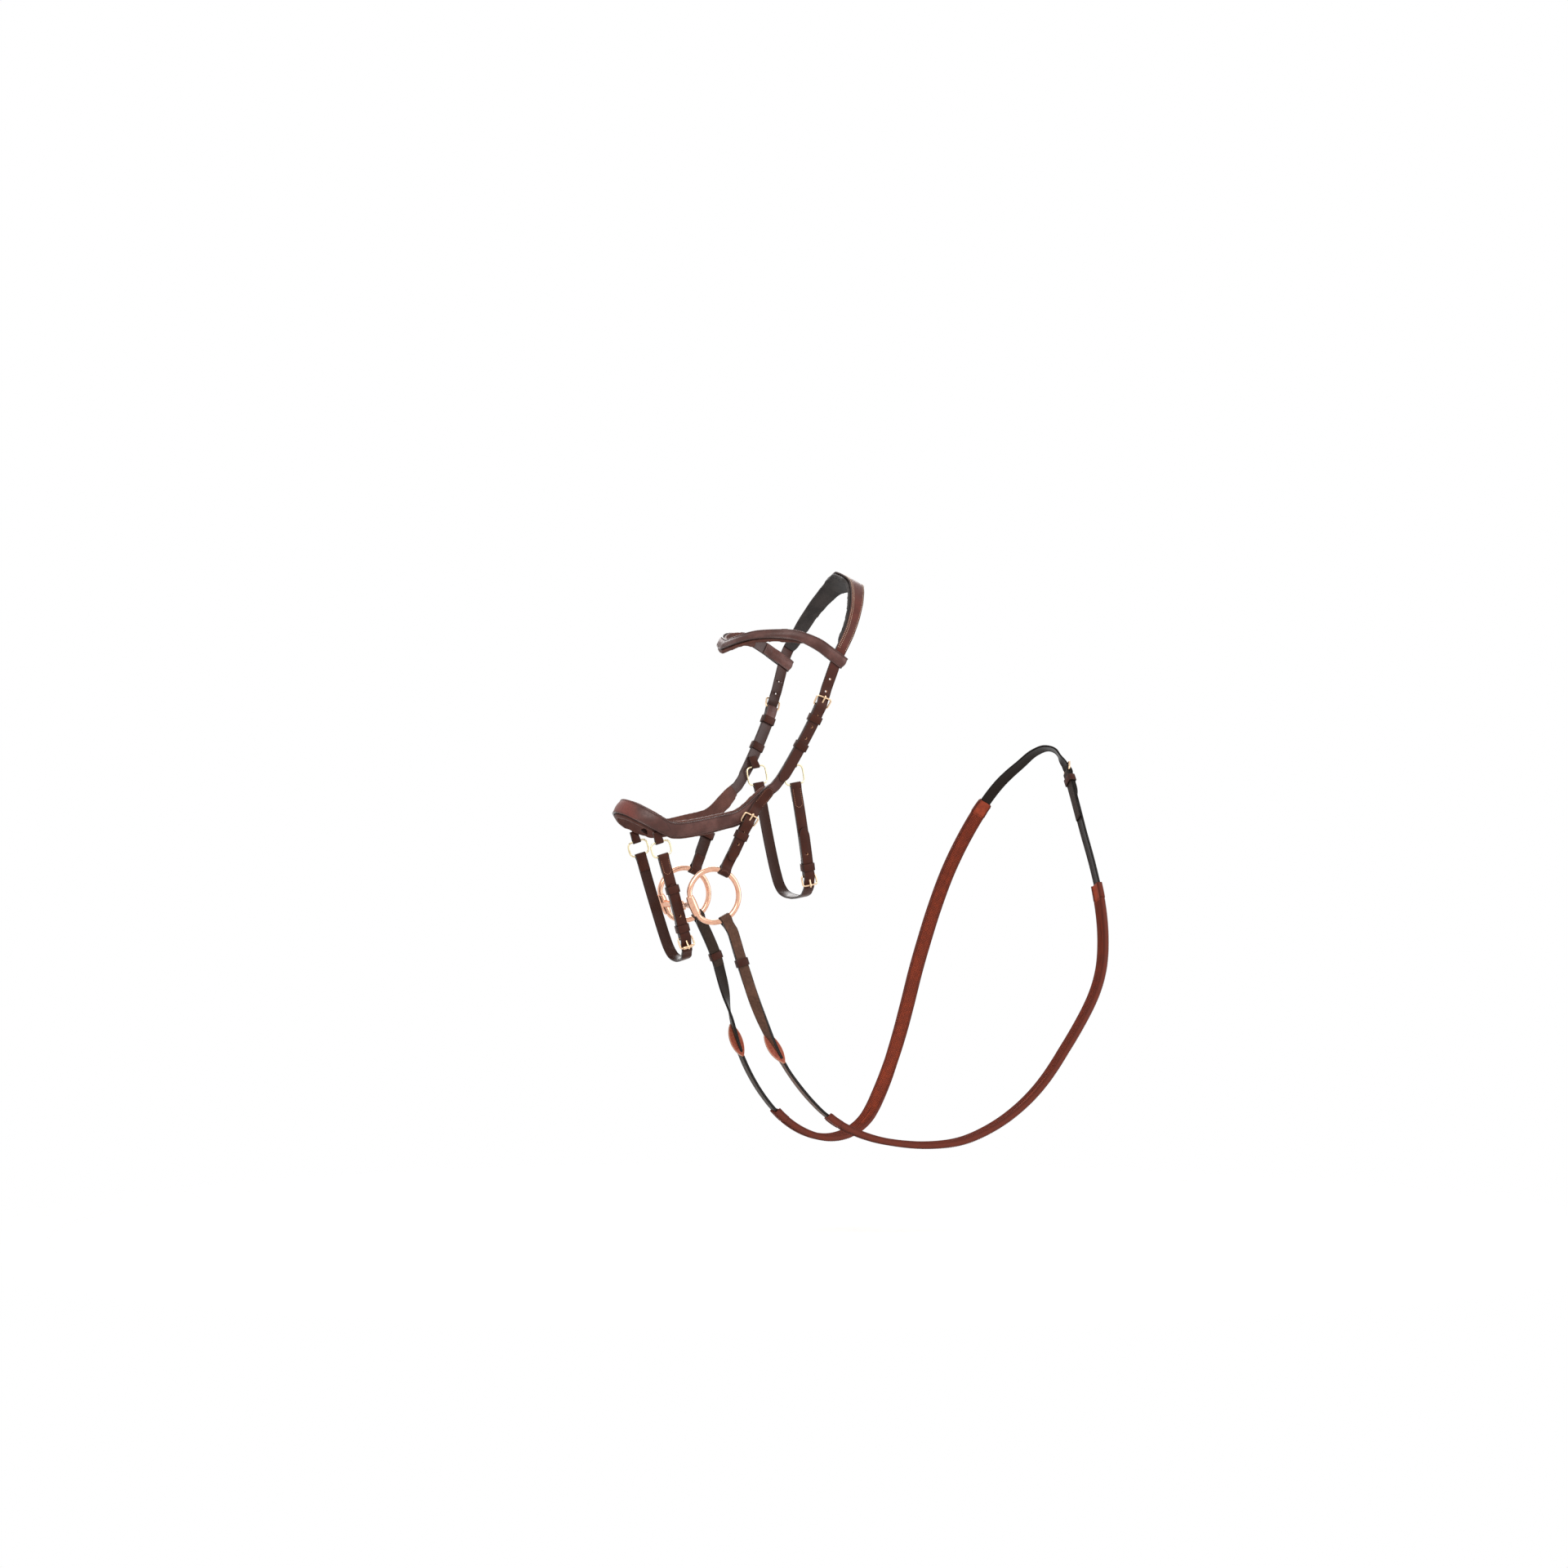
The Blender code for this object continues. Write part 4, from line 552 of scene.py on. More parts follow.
def softened(node_name, radius):
    """A copy of a leather fitting's solid with rounded edges."""
    shape = merged(node_name)
    bmesh.ops.join_triangles(
        shape, faces=shape.faces,
        angle_face_threshold=math.radians(2), angle_shape_threshold=math.radians(180),
    )
    mesh = applied(meshed(node_name, shape), ("BEVEL", {
        "width": radius, "segments": 2, "limit_method": "ANGLE", "angle_limit": math.radians(35),
        "use_clamp_overlap": True, "loop_slide": False,
    }))
    mesh.shade_smooth()
    return with_edges(mesh)


def polished(node_name, grow):
    """A copy of a metal fitting's solid, rounded; it first grows as much as the rounding takes away."""
    shape = merged(node_name)
    bmesh.ops.join_triangles(
        shape, faces=shape.faces,
        angle_face_threshold=math.radians(40), angle_shape_threshold=math.radians(60),
    )
    shape.normal_update()
    for vert, normal in [(vert, vert.normal.copy()) for vert in shape.verts]:
        vert.co += normal * grow
    mesh = applied(meshed(node_name, shape), ("SUBSURF", {"levels": 2, "render_levels": 2}))
    mesh.shade_smooth()
    return mesh


def cast(node_name, voxel, rounds):
    """A copy of a forged solid whose parts have run together, with its facets smoothed."""
    mesh = applied(
        meshed(node_name, merged(node_name)),
        ("REMESH", {"mode": "VOXEL", "voxel_size": voxel, "use_smooth_shade": True}),
        ("SMOOTH", {"factor": 0.5, "iterations": rounds}),
    )
    mesh.shade_smooth()
    return mesh


# Lines of stitches and studs


def seam(rows, inset, side, start, end, face=1, lift=0.0):
    """Places and outward directions along a strap between two distances, at an inset from its edge.

    Side is -1 for the left edge and 1 for the right, and face is -1 for the lining face.
    """
    rows = smooth_rows(rows, ROW_STEP)
    line = []
    for row, s, out in zip(rows, *measured(rows)):
        a, b = across(row, side, face)
        width = (b - a).length
        if start <= s <= end and width >= 2 * inset:
            run = (b - a).normalized()
            line.append((a + run * min(inset, width / 2) + out * face * lift, out * face))
    return line


def on_face(rows, marks, dome, rim):
    """Places on a strap whose dome rises inside the rim, from distances along it and shares of its width."""
    rows = smooth_rows(rows, ROW_STEP)
    along, outs = measured(rows)
    most = max((row.left - row.right).length for row in rows)
    line = []
    for s, share in marks:
        i = min(range(len(rows)), key=lambda k: abs(along[k] - s))
        j = min(len(rows) - 1, max(0, i + (1 if s > along[i] else -1)))
        t = abs(s - along[i]) / max(abs(along[j] - along[i]), LEAST)
        left = rows[i].left.lerp(rows[j].left, t)
        right = rows[i].right.lerp(rows[j].right, t)
        width = (right - left).length
        inside = min(1, max(0, (min(share, 1 - share) * width - rim) / (width / 2 - rim)))
        rise = dome * (width / most) ** 2 * math.sin(inside * math.pi / 2)
        line.append((left.lerp(right, share) + outs[i] * rise, outs[i]))
    return line


def joined(left, right):
    """Two rows of stitches joined at their last points, round two corners."""
    turned = []
    for line, other in ((left, right), (right, left)):
        inward = (other[-1][0] - line[-1][0]).normalized() * SEAM_CORNER
        points = []
        for place, out in line:
            short = max(0, 1 - (place - line[-1][0]).length / SEAM_CORNER)
            points.append((place + inward * (1 - math.sqrt(1 - short ** 2)), out))
        turned.append(points)
    return turned[0] + turned[1][::-1]


def strips(name, lines):
    """A mesh of open lines whose points hold the outward direction."""
    mesh = bpy.data.meshes.new(name)
    points = [place for line in lines for place, out in line]
    edges, first = [], 0
    for line in lines:
        edges += [(first + i, first + i + 1) for i in range(len(line) - 1)]
        first += len(line)
    mesh.from_pydata(points, edges, [])
    outs = mesh.attributes.new("out", "FLOAT_VECTOR", "POINT")
    for i, out in enumerate(out for line in lines for place, out in line):
        outs.data[i].vector = out
    return mesh


def row_tree(name, shape_of, sizes):
    """A tree that sets one small shape after another along lines, upright on the surface under them."""
    tree = bpy.data.node_groups.new(name, "GeometryNodeTree")
    tree.is_modifier = True
    tree.interface.new_socket("Lines", in_out="INPUT", socket_type="NodeSocketGeometry")
    for size in ("Pitch", *sizes, "Slant"):
        tree.interface.new_socket(size, in_out="INPUT", socket_type="NodeSocketFloat")
    tree.interface.new_socket("Finish", in_out="INPUT", socket_type="NodeSocketMaterial")
    tree.interface.new_socket("Row", in_out="OUTPUT", socket_type="NodeSocketGeometry")
    given = node(tree, "NodeGroupInput").outputs
    curve = node(tree, "GeometryNodeMeshToCurve", {"Mesh": given["Lines"]})
    even = node(tree, "GeometryNodeResampleCurve", {"Curve": curve, "Length": given["Pitch"]}, mode="LENGTH")
    out = node(tree, "GeometryNodeInputNamedAttribute", {"Name": "out"}, data_type="FLOAT_VECTOR")
    run = node(tree, "GeometryNodeInputTangent")
    ahead = node(tree, "FunctionNodeAlignRotationToVector", {"Vector": run}, axis="X")
    upright = node(
        tree, "FunctionNodeAlignRotationToVector", {"Rotation": ahead, "Vector": out},
        axis="Z", pivot_axis="X",
    )
    slant = node(tree, "FunctionNodeAxisAngleToRotation", {"Axis": (0, 0, 1), "Angle": given["Slant"]})
    turned = node(
        tree, "FunctionNodeRotateRotation", {"Rotation": upright, "Rotate By": slant}, rotation_space="LOCAL",
    )
    placed = node(tree, "GeometryNodeInstanceOnPoints", {
        "Points": even, "Instance": shape_of(tree, given), "Rotation": turned,
    })
    real = node(tree, "GeometryNodeRealizeInstances", {"Geometry": placed})
    smooth = node(tree, "GeometryNodeSetShadeSmooth", {"Geometry": real})
    done = node(tree, "GeometryNodeSetMaterial", {"Geometry": smooth, "Material": given["Finish"]})
    node(tree, "NodeGroupOutput", {"Row": done})
    return tree


def stitch_shape(tree, given):
    """One visible stitch: a short thread, rounded at both ends and half sunk in the leather."""
    ball = node(tree, "GeometryNodeMeshUVSphere", {"Segments": 8, "Rings": 5, "Radius": 0.5})
    thick = given["Thickness"]
    size = node(tree, "ShaderNodeCombineXYZ", {"X": given["Length"], "Y": thick, "Z": thick})
    return node(tree, "GeometryNodeTransform", {"Geometry": ball, "Scale": size})


def pimple_shape(tree, given):
    """One blunt rubber pimple."""
    top, foot = (
        node(tree, "ShaderNodeMath", {0: given["Width"], 1: share}, operation="MULTIPLY")
        for share in (0.28, 0.5)
    )
    return node(tree, "GeometryNodeMeshCone", {
        "Vertices": 6, "Side Segments": 1, "Fill Segments": 1,
        "Radius Top": top, "Radius Bottom": foot, "Depth": given["Height"],
    })


def row_mesh(name, tree, lines, **sizes):
    """The mesh of a row tree along lines, with its named inputs set."""
    thing = linked(name, strips(name, lines))
    modifier = thing.modifiers.new("row", "NODES")
    modifier.node_group = tree
    for item in tree.interface.items_tree:
        if item.item_type == "SOCKET" and item.in_out == "INPUT" and item.name.lower() in sizes:
            modifier[item.identifier] = sizes[item.name.lower()]
    return taken(thing, name)


# Finishes


def node(tree, kind, inputs=None, **settings):
    """A node with its settings; an input is set, or linked to a socket or to another node's first output."""
    made = tree.nodes.new(kind)
    for key, value in settings.items():
        setattr(made, key, value)
    for key, value in (inputs or {}).items():
        socket = made.inputs[key]
        if isinstance(value, bpy.types.Node):
            value = next(output for output in value.outputs if output.enabled)
        if isinstance(value, bpy.types.NodeSocket):
            tree.links.new(value, socket)
        else:
            socket.default_value = (*value, 1) if socket.type == "RGBA" else value
    return made


def blank(name):
    """A new material with an empty tree, and the place on the object in that tree."""
    material = bpy.data.materials.new(name)
    material.use_nodes = True
    material.node_tree.nodes.clear()
    return material, material.node_tree, node(material.node_tree, "ShaderNodeTexCoord").outputs["Object"]


def finish(tree, **sockets):
    """The shader of a material and its output."""
    shader = node(tree, "ShaderNodeBsdfPrincipled", {
        key.replace("_", " "): value for key, value in sockets.items()
    })
    node(tree, "ShaderNodeOutputMaterial", {"Surface": shader})


def toned(tree, value, low, high, colour, other, share=1.0):
    """A colour that turns into another, up to a share of it, while the value runs from low to high."""
    part = node(tree, "ShaderNodeMapRange", {
        "Value": value, "From Min": low, "From Max": high, "To Min": 0.0, "To Max": share,
    }, interpolation_type="SMOOTHSTEP")
    return node(tree, "ShaderNodeMix", {0: part, 6: colour, 7: other}, data_type="RGBA")


def rimmed(tree, low, high, most):
    """A value that is highest at a strap's edges and gone beyond a distance from them."""
    edge_map = node(tree, "ShaderNodeUVMap", uv_map=EDGE_MAP)
    away = node(tree, "ShaderNodeSeparateXYZ", {"Vector": edge_map}).outputs["Y"]
    return node(tree, "ShaderNodeMapRange", {
        "Value": away, "From Min": low, "From Max": high, "To Min": most, "To Max": 0.0,
    }, interpolation_type="SMOOTHSTEP")


def leather(name, colour, pale, edge, rough=0.40, patch=None, gloss=0.16):
    """Bridle leather, curried and waxed: fine pores, soft clouds, and edges inked and burnished to a gloss.

    patch is a second colour, an axis and the two places on it between which that colour comes in.
    """
    material, tree, place = blank(name)
    colour, pale, edge = (linear(code) for code in (colour, pale, edge))
    # Clouds some 30 mm across, wrinkles of 3 mm and pores of 0.7 mm, which is as fine as the render can show.
    cloud = node(tree, "ShaderNodeTexNoise", {"Vector": place, "Scale": 33.0, "Detail": 4.0})
    wrinkle = node(tree, "ShaderNodeTexNoise", {"Vector": place, "Scale": 330.0, "Detail": 5.0})
    pores = node(tree, "ShaderNodeTexVoronoi", {"Vector": place, "Scale": 1400.0})
    body = toned(tree, cloud, 0.35, 0.68, colour, pale)
    if patch:
        level = node(tree, "ShaderNodeSeparateXYZ", {"Vector": place}).outputs[patch[1]]
        body = toned(tree, level, patch[2], patch[3], body, linear(patch[0]))
    body = toned(tree, wrinkle, 0.30, 0.75, body, edge, 0.35)
    rim = rimmed(tree, 0.30 * MM, 1.10 * MM, 1.0)
    base = node(tree, "ShaderNodeMix", {0: rim, 6: body, 7: edge}, data_type="RGBA")
    worn = node(tree, "ShaderNodeMapRange", {
        "Value": wrinkle, "From Min": 0.2, "From Max": 0.8, "To Min": rough - 0.06, "To Max": rough + 0.10,
    }, interpolation_type="SMOOTHSTEP")
    shine = node(tree, "ShaderNodeMix", {0: rim, 2: worn, 3: 0.24}, data_type="FLOAT")
    height = node(tree, "ShaderNodeMath", {0: pores, 1: wrinkle}, operation="ADD")
    bump = node(tree, "ShaderNodeBump", {"Height": height, "Strength": 0.35, "Distance": 0.06 * MM})
    finish(tree, Base_Color=base, Roughness=shine, Normal=bump, Specular_IOR_Level=gloss)
    return material


def lining(name, colour, pale):
    """Soft chrome-tanned nappa over foam: dark and matt, with fine creases."""
    material, tree, place = blank(name)
    crease = node(tree, "ShaderNodeTexVoronoi", {"Vector": place, "Scale": 900.0})
    cloud = node(tree, "ShaderNodeTexNoise", {"Vector": place, "Scale": 60.0, "Detail": 4.0})
    body = toned(tree, cloud, 0.3, 0.7, linear(colour), linear(pale))
    dull = node(tree, "ShaderNodeMapRange", {
        "Value": crease, "From Min": 0.0, "From Max": 0.6, "To Min": 0.62, "To Max": 0.50,
    }, interpolation_type="SMOOTHSTEP")
    bump = node(tree, "ShaderNodeBump", {"Height": crease, "Strength": 0.5, "Distance": 0.12 * MM})
    finish(tree, Base_Color=body, Roughness=dull, Normal=bump, Specular_IOR_Level=0.22)
    return material


def thread(name, colour, dark):
    """Waxed polyester thread, twisted from three strands: a dull sheen with darker turns."""
    material, tree, place = blank(name)
    turns = node(tree, "ShaderNodeTexNoise", {"Vector": place, "Scale": 1800.0, "Detail": 2.0})
    base = toned(tree, turns, 0.4, 0.65, linear(colour), linear(dark))
    dull = node(tree, "ShaderNodeMapRange", {
        "Value": turns, "From Min": 0.3, "From Max": 0.7, "To Min": 0.55, "To Max": 0.75,
    }, interpolation_type="SMOOTHSTEP")
    finish(tree, Base_Color=base, Roughness=dull)
    return material


def rubber(name, colour, pale, dark):
    """Moulded natural rubber, red-brown, dull and a little dusty, with a darker bound edge."""
    material, tree, place = blank(name)
    dust = node(tree, "ShaderNodeTexNoise", {"Vector": place, "Scale": 120.0, "Detail": 6.0})
    body = toned(tree, dust, 0.35, 0.70, linear(colour), linear(pale))
    rim = rimmed(tree, 1.0 * MM, 2.2 * MM, 0.75)
    base = node(tree, "ShaderNodeMix", {0: rim, 6: body, 7: linear(dark)}, data_type="RGBA")
    dull = node(tree, "ShaderNodeMapRange", {
        "Value": dust, "From Min": 0.3, "From Max": 0.7, "To Min": 0.62, "To Max": 0.80,
    }, interpolation_type="SMOOTHSTEP")
    bump = node(tree, "ShaderNodeBump", {"Height": dust, "Strength": 0.3, "Distance": 0.1 * MM})
    finish(tree, Base_Color=base, Roughness=dull, Normal=bump, Specular_IOR_Level=0.22)
    return material


def plated(name, colour, worn, rough):
    """Polished metal under a thin warm plating: bright, with faint polishing marks and worn patches."""
    material, tree, place = blank(name)
    wear = node(tree, "ShaderNodeTexNoise", {"Vector": place, "Scale": 180.0, "Detail": 6.0})
    marks = node(tree, "ShaderNodeTexNoise", {"Vector": place, "Scale": 2200.0, "Detail": 2.0})
    base = toned(tree, wear, 0.40, 0.75, linear(colour), linear(worn), 0.6)
    shine = node(tree, "ShaderNodeMapRange", {
        "Value": wear, "From Min": 0.3, "From Max": 0.8, "To Min": rough, "To Max": rough + 0.10,
    }, interpolation_type="SMOOTHSTEP")
    bump = node(tree, "ShaderNodeBump", {"Height": marks, "Strength": 0.08, "Distance": 0.02 * MM})
    finish(tree, Base_Color=base, Metallic=1.0, Roughness=shine, Normal=bump)
    return material


def finish_named(name, *recipe):
    """The material of that name, made the first time that it is asked for."""
    return bpy.data.materials.get(name) or recipe[0](name, *recipe[1:])


# Places along straps and reins


# What has been read of each solid.
ROWS = {}


def rows(node_name):
    """The rows of a strap's solid, kept once read."""
    if node_name not in ROWS:
        ROWS[node_name] = rows_of(node_name)
    return ROWS[node_name][0]


def holes(node_name):
    """The centres and directions of a strap's holes."""
    rows(node_name)
    return ROWS[node_name][1]


def stretch(lines, start, end, more):
    """The rows between two distances along a strap, made wider and thicker by that much on each side."""
    fine = smooth_rows(lines, ROW_STEP)
    kept = []
    for row, s, out in zip(fine, *measured(fine)):
        if start <= s <= end:
            side = (row.left - row.right).normalized() * more
            up = out * more
            kept.append(Row(
                row.left + side + up, row.right - side + up,
                row.left_under + side - up, row.right_under - side - up,
            ))
    return kept


def wider(row, low, high):
    """A row of a strap made wider by two amounts, below and above."""
    side = (row.left - row.right).normalized()
    a, b = (high, low) if row.left.z > row.right.z else (low, high)
    return Row(
        row.left + side * a, row.right - side * b, row.left_under + side * a, row.right_under - side * b,
    )


def cleared(row):
    """A row of the noseband whose rear edge is drawn in where a jaw ring swings past it."""
    middle = (row.left + row.right) / 2
    away = min((middle - RING_PASS * Vector((1, side, 1))).length for side in (-1, 1))
    return wider(row, -RING_ROOM * max(0, 1 - away / RING_REACH), 0)


def nearest(lines, place):
    """The distance along a strap at its row nearest to the place."""
    fine = smooth_rows(lines, ROW_STEP)
    return measured(fine)[0][closest(middles_of(fine), place)]


def fold_at(lines, place):
    """The distance along a strap at its fold round a bar near the place, and the way to its middle."""
    along = measured(lines)[0]
    middles = middles_of(lines)
    centre = middles[len(middles) // 2]
    beyond = place + (place - centre).normalized() * FOLD_REACH
    spot = along[closest(middles, beyond)]
    return spot, 1 if spot < along[-1] / 2 else -1


def fold_seam(lines, place, inset, length, start=5.0 * MM):
    """A seam down both edges and across, that closes the fold round a bar near the place."""
    spot, way = fold_at(lines, place)
    ends = (spot + start, spot + length) if way > 0 else (spot - length, spot - start)
    left, right = (seam(lines, inset, side, *ends)[::way] for side in (-1, 1))
    return joined(left, right)


def tip_seam(lines, place, inset, length):
    """A seam round a strap's end that lies near the place, and down both its edges."""
    last = measured(lines)[0][-1]
    first = (lines[0].left - place).length < (lines[-1].left - place).length
    ends = (0, length) if first else (last - length, last + MM)
    left, right = (seam(lines, inset, side, *ends) for side in (-1, 1))
    return left[::-1] + right if first else left + right[::-1]


def joint_place(name):
    """Where a joint of the record sits."""
    return Vector(next(j["pos_m"] for j in frame["record"]["behaviour"]["joints"] if j["name"] == name))


def catmull(values, i, t):
    """The place at t between number i and the next, on a smooth curve through all of them."""
    p1, p2 = values[i], values[i + 1]
    p0 = values[i - 1] if i else p1 * 2 - p2
    p3 = values[i + 2] if i + 2 < len(values) else p2 * 2 - p1
    a = p1 * 2 + (p2 - p0) * t
    b = (p0 * 2 - p1 * 5 + p2 * 4 - p3) * t ** 2
    c = (p1 * 3 - p0 - p2 * 3 + p3) * t ** 3
    return (a + b + c) / 2


def rein_path(step):
    """The line of both reins, from the near ring over the crest to the off ring."""
    ends = []
    for side, leave in (("near", NEAR_REIN[0]), ("off", OFF_REIN[0])):
        middle = joint_place(f"{side}_bit_ring_turn")
        away = Vector((leave[0] - middle.x, 0, leave[2] - middle.z)).normalized()
        ends.append(middle + away * RING_RADIUS)
    places = [ends[0], *map(Vector, NEAR_REIN), *map(Vector, CREST), *map(Vector, OFF_REIN[::-1]), ends[1]]
    fine = []
    for i in range(len(places) - 1):
        count = max(1, round((places[i + 1] - places[i]).length / step))
        fine += [catmull(places, i, k / count) for k in range(count)]
    return fine + [places[-1]]


def length_of(line):
    """The length of a line of places."""
    return sum((b - a).length for a, b in zip(line, line[1:]))


def stuffed(mesh, voxel, swell):
    """Lining leather blown up over its foam by a short cloth simulation, by no more than the swell."""
    mesh = applied(mesh, ("REMESH", {"mode": "VOXEL", "voxel_size": voxel, "use_smooth_shade": True}))
    thing = linked("work", mesh)
    cloth = thing.modifiers.new("cloth", "CLOTH").settings
    cloth.use_pressure = True
    cloth.uniform_pressure_force = PAD_PRESSURE
    cloth.effector_weights.gravity = 0
    cloth.quality = PAD_QUALITY
    for moment in range(1, PAD_FRAMES + 1):
        bpy.context.scene.frame_set(moment)
    blown = taken(thing, "work")
    for vert, old in zip(blown.vertices, mesh.vertices):
        move = vert.co - old.co
        vert.co = old.co + move * min(1, swell / max(move.length, 0.001 * MM))
    bpy.context.scene.frame_set(1)
    mesh = blown
    mesh = applied(
        mesh,
        ("SMOOTH", {"factor": 0.5, "iterations": PAD_ROUNDS}),
        ("SUBSURF", {"levels": 1, "render_levels": 1}),
    )
    mesh.shade_smooth()
    return mesh


# Settings


class BridleView(bpy.types.PropertyGroup):
    """Camera and floor."""

    lens: bpy.props.FloatProperty(
        name="Lens", description="Focal length of the camera", default=109.4, unit="CAMERA",
    )
    distance: bpy.props.FloatProperty(
        name="Distance", description="From the camera to the bridle", default=7.0, unit="LENGTH",
    )
    azimuth: bpy.props.FloatProperty(
        name="Azimuth", description="How far the camera has moved round from the near side",
        default=math.radians(-22), unit="ROTATION",
    )
    floor_colour: bpy.props.FloatVectorProperty(
        name="Floor", description="Colour of the floor",
        default=linear("#F2F1EF"), subtype="COLOR", min=0, max=1,
    )


class BridleLeather(bpy.types.PropertyGroup):
    """Straps, linings and stitches."""

    crown: bpy.props.FloatVectorProperty(
        name="Headpiece", description="Colour of the headpiece", default=linear("#55281F"), subtype="COLOR",
    )
    face: bpy.props.FloatVectorProperty(
        name="Wide bands", description="Colour of browband and noseband",
        default=linear("#4A2A24"), subtype="COLOR",
    )
    nose: bpy.props.FloatVectorProperty(
        name="Nose", description="Colour of the noseband's front", default=linear("#7A4038"), subtype="COLOR",
    )
    strap: bpy.props.FloatVectorProperty(
        name="Straps", description="Colour of the narrow straps", default=linear("#3B1A10"), subtype="COLOR",
    )
    edge_radius: bpy.props.FloatProperty(
        name="Edge", description="Radius of the burnished edges", default=0.6 * MM, unit="LENGTH",
    )
    channel: bpy.props.FloatProperty(
        name="Channel", description="From a wide band's edge to its stitches",
        default=2.2 * MM, unit="LENGTH",
    )
    channel_depth: bpy.props.FloatProperty(
        name="Channel depth", description="How deep the stitches pull in", default=0.40 * MM, unit="LENGTH",
    )
    dome: bpy.props.FloatProperty(
        name="Dome", description="How far the padding raises a band", default=1.1 * MM, unit="LENGTH",
    )
    stitch_pitch: bpy.props.FloatProperty(
        name="Stitch spacing", description="From stitch to stitch", default=2.7 * MM, unit="LENGTH",
    )
    stitch_thread: bpy.props.FloatProperty(
        name="Thread", description="Thickness of the thread", default=0.65 * MM, unit="LENGTH",
    )
    hole_radius: bpy.props.FloatProperty(
        name="Punched hole", description="Radius of the holes for a tongue", default=1.7 * MM, unit="LENGTH",
    )
    pad_roll: bpy.props.FloatProperty(
        name="Roll", description="How far a lining stands out below its band",
        default=2.2 * MM, unit="LENGTH",
    )
    pad_swell: bpy.props.FloatProperty(
        name="Swell", description="How far a lining swells at most", default=0.6 * MM, unit="LENGTH",
    )


class BridleReins(bpy.types.PropertyGroup):
    """Reins and their rubber grips."""

    near: bpy.props.FloatVectorProperty(
        name="Near rein", description="Colour of the near rein", default=linear("#553A2D"), subtype="COLOR",
    )
    # The off rein's colour is the rein leather made darker as painted shade on the far side.
    off: bpy.props.FloatVectorProperty(
        name="Off rein", description="Colour of the off rein", default=linear("#33261E"), subtype="COLOR",
    )
    grip: bpy.props.FloatVectorProperty(
        name="Rubber", description="Colour of the grips", default=linear("#863721"), subtype="COLOR",
    )
    stop: bpy.props.FloatVectorProperty(
        name="Stops", description="Colour of the martingale stops",
        default=linear("#84382A"), subtype="COLOR",
    )
    # A rein's dark part, from this place backwards, is painted shade.
    painted_shade_from: bpy.props.FloatProperty(
        name="Dark from", description="Place from front to back where a rein's dark part starts",
        default=-100 * MM, unit="LENGTH",
    )
    pimple_pitch: bpy.props.FloatProperty(
        name="Pimple spacing", description="From pimple to pimple", default=2.4 * MM, unit="LENGTH",
    )
    pimple_height: bpy.props.FloatProperty(
        name="Pimple height", description="How far a pimple stands out", default=0.9 * MM, unit="LENGTH",
    )
    stop_length: bpy.props.FloatProperty(
        name="Stop length", description="Length of a martingale stop", default=50 * MM, unit="LENGTH",
    )
    stop_width: bpy.props.FloatProperty(
        name="Stop width", description="Width of a martingale stop", default=19 * MM, unit="LENGTH",
    )
    stop_thickness: bpy.props.FloatProperty(
        name="Stop thickness", description="Thickness of a martingale stop", default=3.6 * MM, unit="LENGTH",
    )
    stop_slant: bpy.props.FloatProperty(
        name="Stop slant", description="How far a stop's ends stand beside the rein",
        default=8.5 * MM, unit="LENGTH",
    )
    sleeve_length: bpy.props.FloatProperty(
        name="End sleeve", description="Length of the smooth end of a grip", default=24 * MM, unit="LENGTH",
    )


class BridleMetal(bpy.types.PropertyGroup):
    """Buckles, rings and bit."""

    buckle: bpy.props.FloatVectorProperty(
        name="Buckles", description="Colour of the buckles", default=linear("#EBCBA8"), subtype="COLOR",
    )
    ring: bpy.props.FloatVectorProperty(
        name="Small rings", description="Colour of chin and jaw rings",
        default=linear("#EADCB8"), subtype="COLOR",
    )
    bit: bpy.props.FloatVectorProperty(
        name="Bit", description="Colour of the snaffle", default=linear("#E9B79C"), subtype="COLOR",
    )
    voxel: bpy.props.FloatProperty(
        name="Grain", description="Fineness of the bit's forged shapes", default=0.45 * MM, unit="LENGTH",
    )


# Steps


